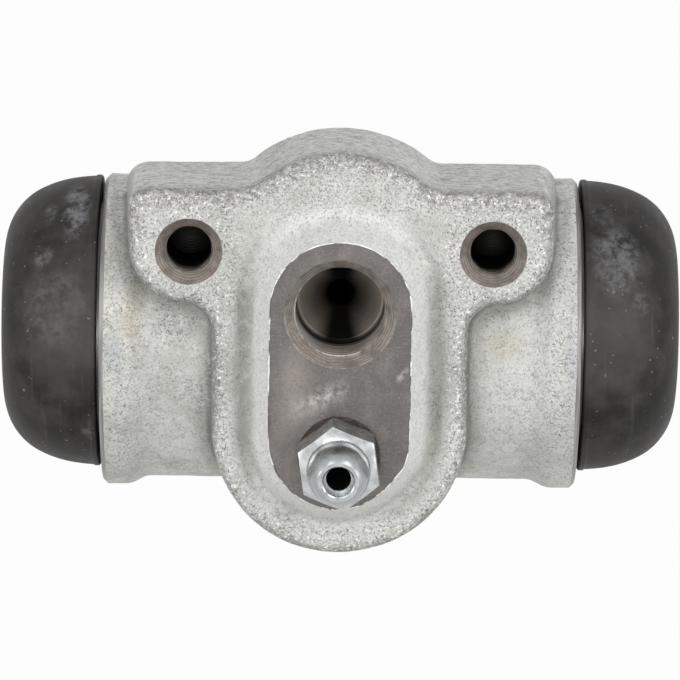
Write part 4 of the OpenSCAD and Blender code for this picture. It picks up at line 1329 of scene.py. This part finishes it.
# The studio
# A pale floor lies well below the part, in front of a white background. Wide soft lamps stand at both sides
# and above, the stronger upper one at the right, and a small one low in front lights what they leave dark.
# The camera looks at the mounting side, a little from above.
FLOOR_Z = BODY_LOW.z - 30 * mm
FLOOR_HALF = 1.5
FLOOR_PALE = (0.90, 0.90, 0.90)
FLOOR_SEEN_WHITE = 0.95
floor_ring = ((-1, -1), (1, -1), (1, 1), (-1, 1))
floor_corners = [(a * FLOOR_HALF, b * FLOOR_HALF, FLOOR_Z) for a, b in floor_ring]
floor = mesh_object("floor", floor_corners, [[0, 1, 2, 3]])


def seen_white(tree, lit, strength):
    """Joins a shader that lights the scene with plain white as the camera and mirrors see it."""
    path = tree.nodes.new("ShaderNodeLightPath")
    seen = path.outputs["Is Camera Ray"]
    for ray in ("Is Glossy Ray", "Is Transmission Ray"):
        either = tree.nodes.new("ShaderNodeMath")
        either.operation = "MAXIMUM"
        tree.links.new(seen, either.inputs[0])
        tree.links.new(path.outputs[ray], either.inputs[1])
        seen = either.outputs[0]
    share = tree.nodes.new("ShaderNodeMath")
    share.operation = "MULTIPLY"
    tree.links.new(seen, share.inputs[0])
    share.inputs[1].default_value = strength
    white = tree.nodes.new("ShaderNodeEmission")
    join = tree.nodes.new("ShaderNodeMixShader")
    tree.links.new(share.outputs[0], join.inputs[0])
    tree.links.new(lit, join.inputs[1])
    tree.links.new(white.outputs[0], join.inputs[2])
    return join.outputs[0]


floor_finish = bpy.data.materials.new("floor_pale")
floor_finish.use_nodes = True
floor_tree = floor_finish.node_tree
floor_tree.nodes.clear()
paint = floor_tree.nodes.new("ShaderNodeBsdfDiffuse")
paint.inputs["Color"].default_value = (*FLOOR_PALE, 1)
floor_out = floor_tree.nodes.new("ShaderNodeOutputMaterial")
floor_tree.links.new(seen_white(floor_tree, paint.outputs[0], FLOOR_SEEN_WHITE), floor_out.inputs["Surface"])
floor.data.materials.append(floor_finish)

AMBIENT = 0.30
world = bpy.data.worlds.new("studio")
bpy.context.scene.world = world
world.use_nodes = True
world_tree = world.node_tree
sky = world_tree.nodes["Background"]
sky.inputs["Color"].default_value = (1, 1, 1, 1)
sky.inputs["Strength"].default_value = AMBIENT
world_out = world_tree.nodes["World Output"]
world_tree.links.new(seen_white(world_tree, sky.outputs[0], 1.0), world_out.inputs["Surface"])


def soft_lamp(name, place, width, power):
    """A square soft box aimed at the part."""
    light = bpy.data.lights.new(name, "AREA")
    light.size = width
    light.energy = power
    lamp = bpy.data.objects.new(name, light)
    lamp.location = place
    lamp.rotation_euler = (bore_middle - Vector(place)).to_track_quat("-Z", "Y").to_euler()
    bpy.context.scene.collection.objects.link(lamp)


soft_lamp("left_lamp", (-0.90, -0.38, 0.12), 0.45, 4.2)
soft_lamp("right_lamp", (0.90, -0.38, 0.12), 0.45, 4.4)
soft_lamp("upper_left_lamp", (-0.42, -0.42, 0.74), 0.6, 1.9)
soft_lamp("upper_right_lamp", (0.50, -0.42, 0.74), 0.6, 3.4)
soft_lamp("low_front_lamp", (-0.05, -0.85, 0.02), 0.2, 2.0)
bpy.context.scene.view_settings.view_transform = "Standard"

ELEVATION = math.radians(15)
ROLL = math.radians(0.6)
LENS = 264.7
SENSOR = 36.0
CAMERA_AWAY = 557.4 * mm
CAMERA_DROP = 9.66 * mm
back = Vector((0, -math.cos(ELEVATION), math.sin(ELEVATION)))
up = Vector((0, math.sin(ELEVATION), math.cos(ELEVATION)))
view = bpy.data.cameras.new("camera")
view.lens = LENS
view.sensor_width = SENSOR
camera = bpy.data.objects.new("camera", view)
camera.location = back * CAMERA_AWAY - up * CAMERA_DROP
aim = Matrix((Vector((1, 0, 0)), up, back)).transposed()
camera.rotation_euler = (aim @ Matrix.Rotation(ROLL, 3, "Z")).to_euler()
bpy.context.scene.collection.objects.link(camera)
bpy.context.scene.camera = camera
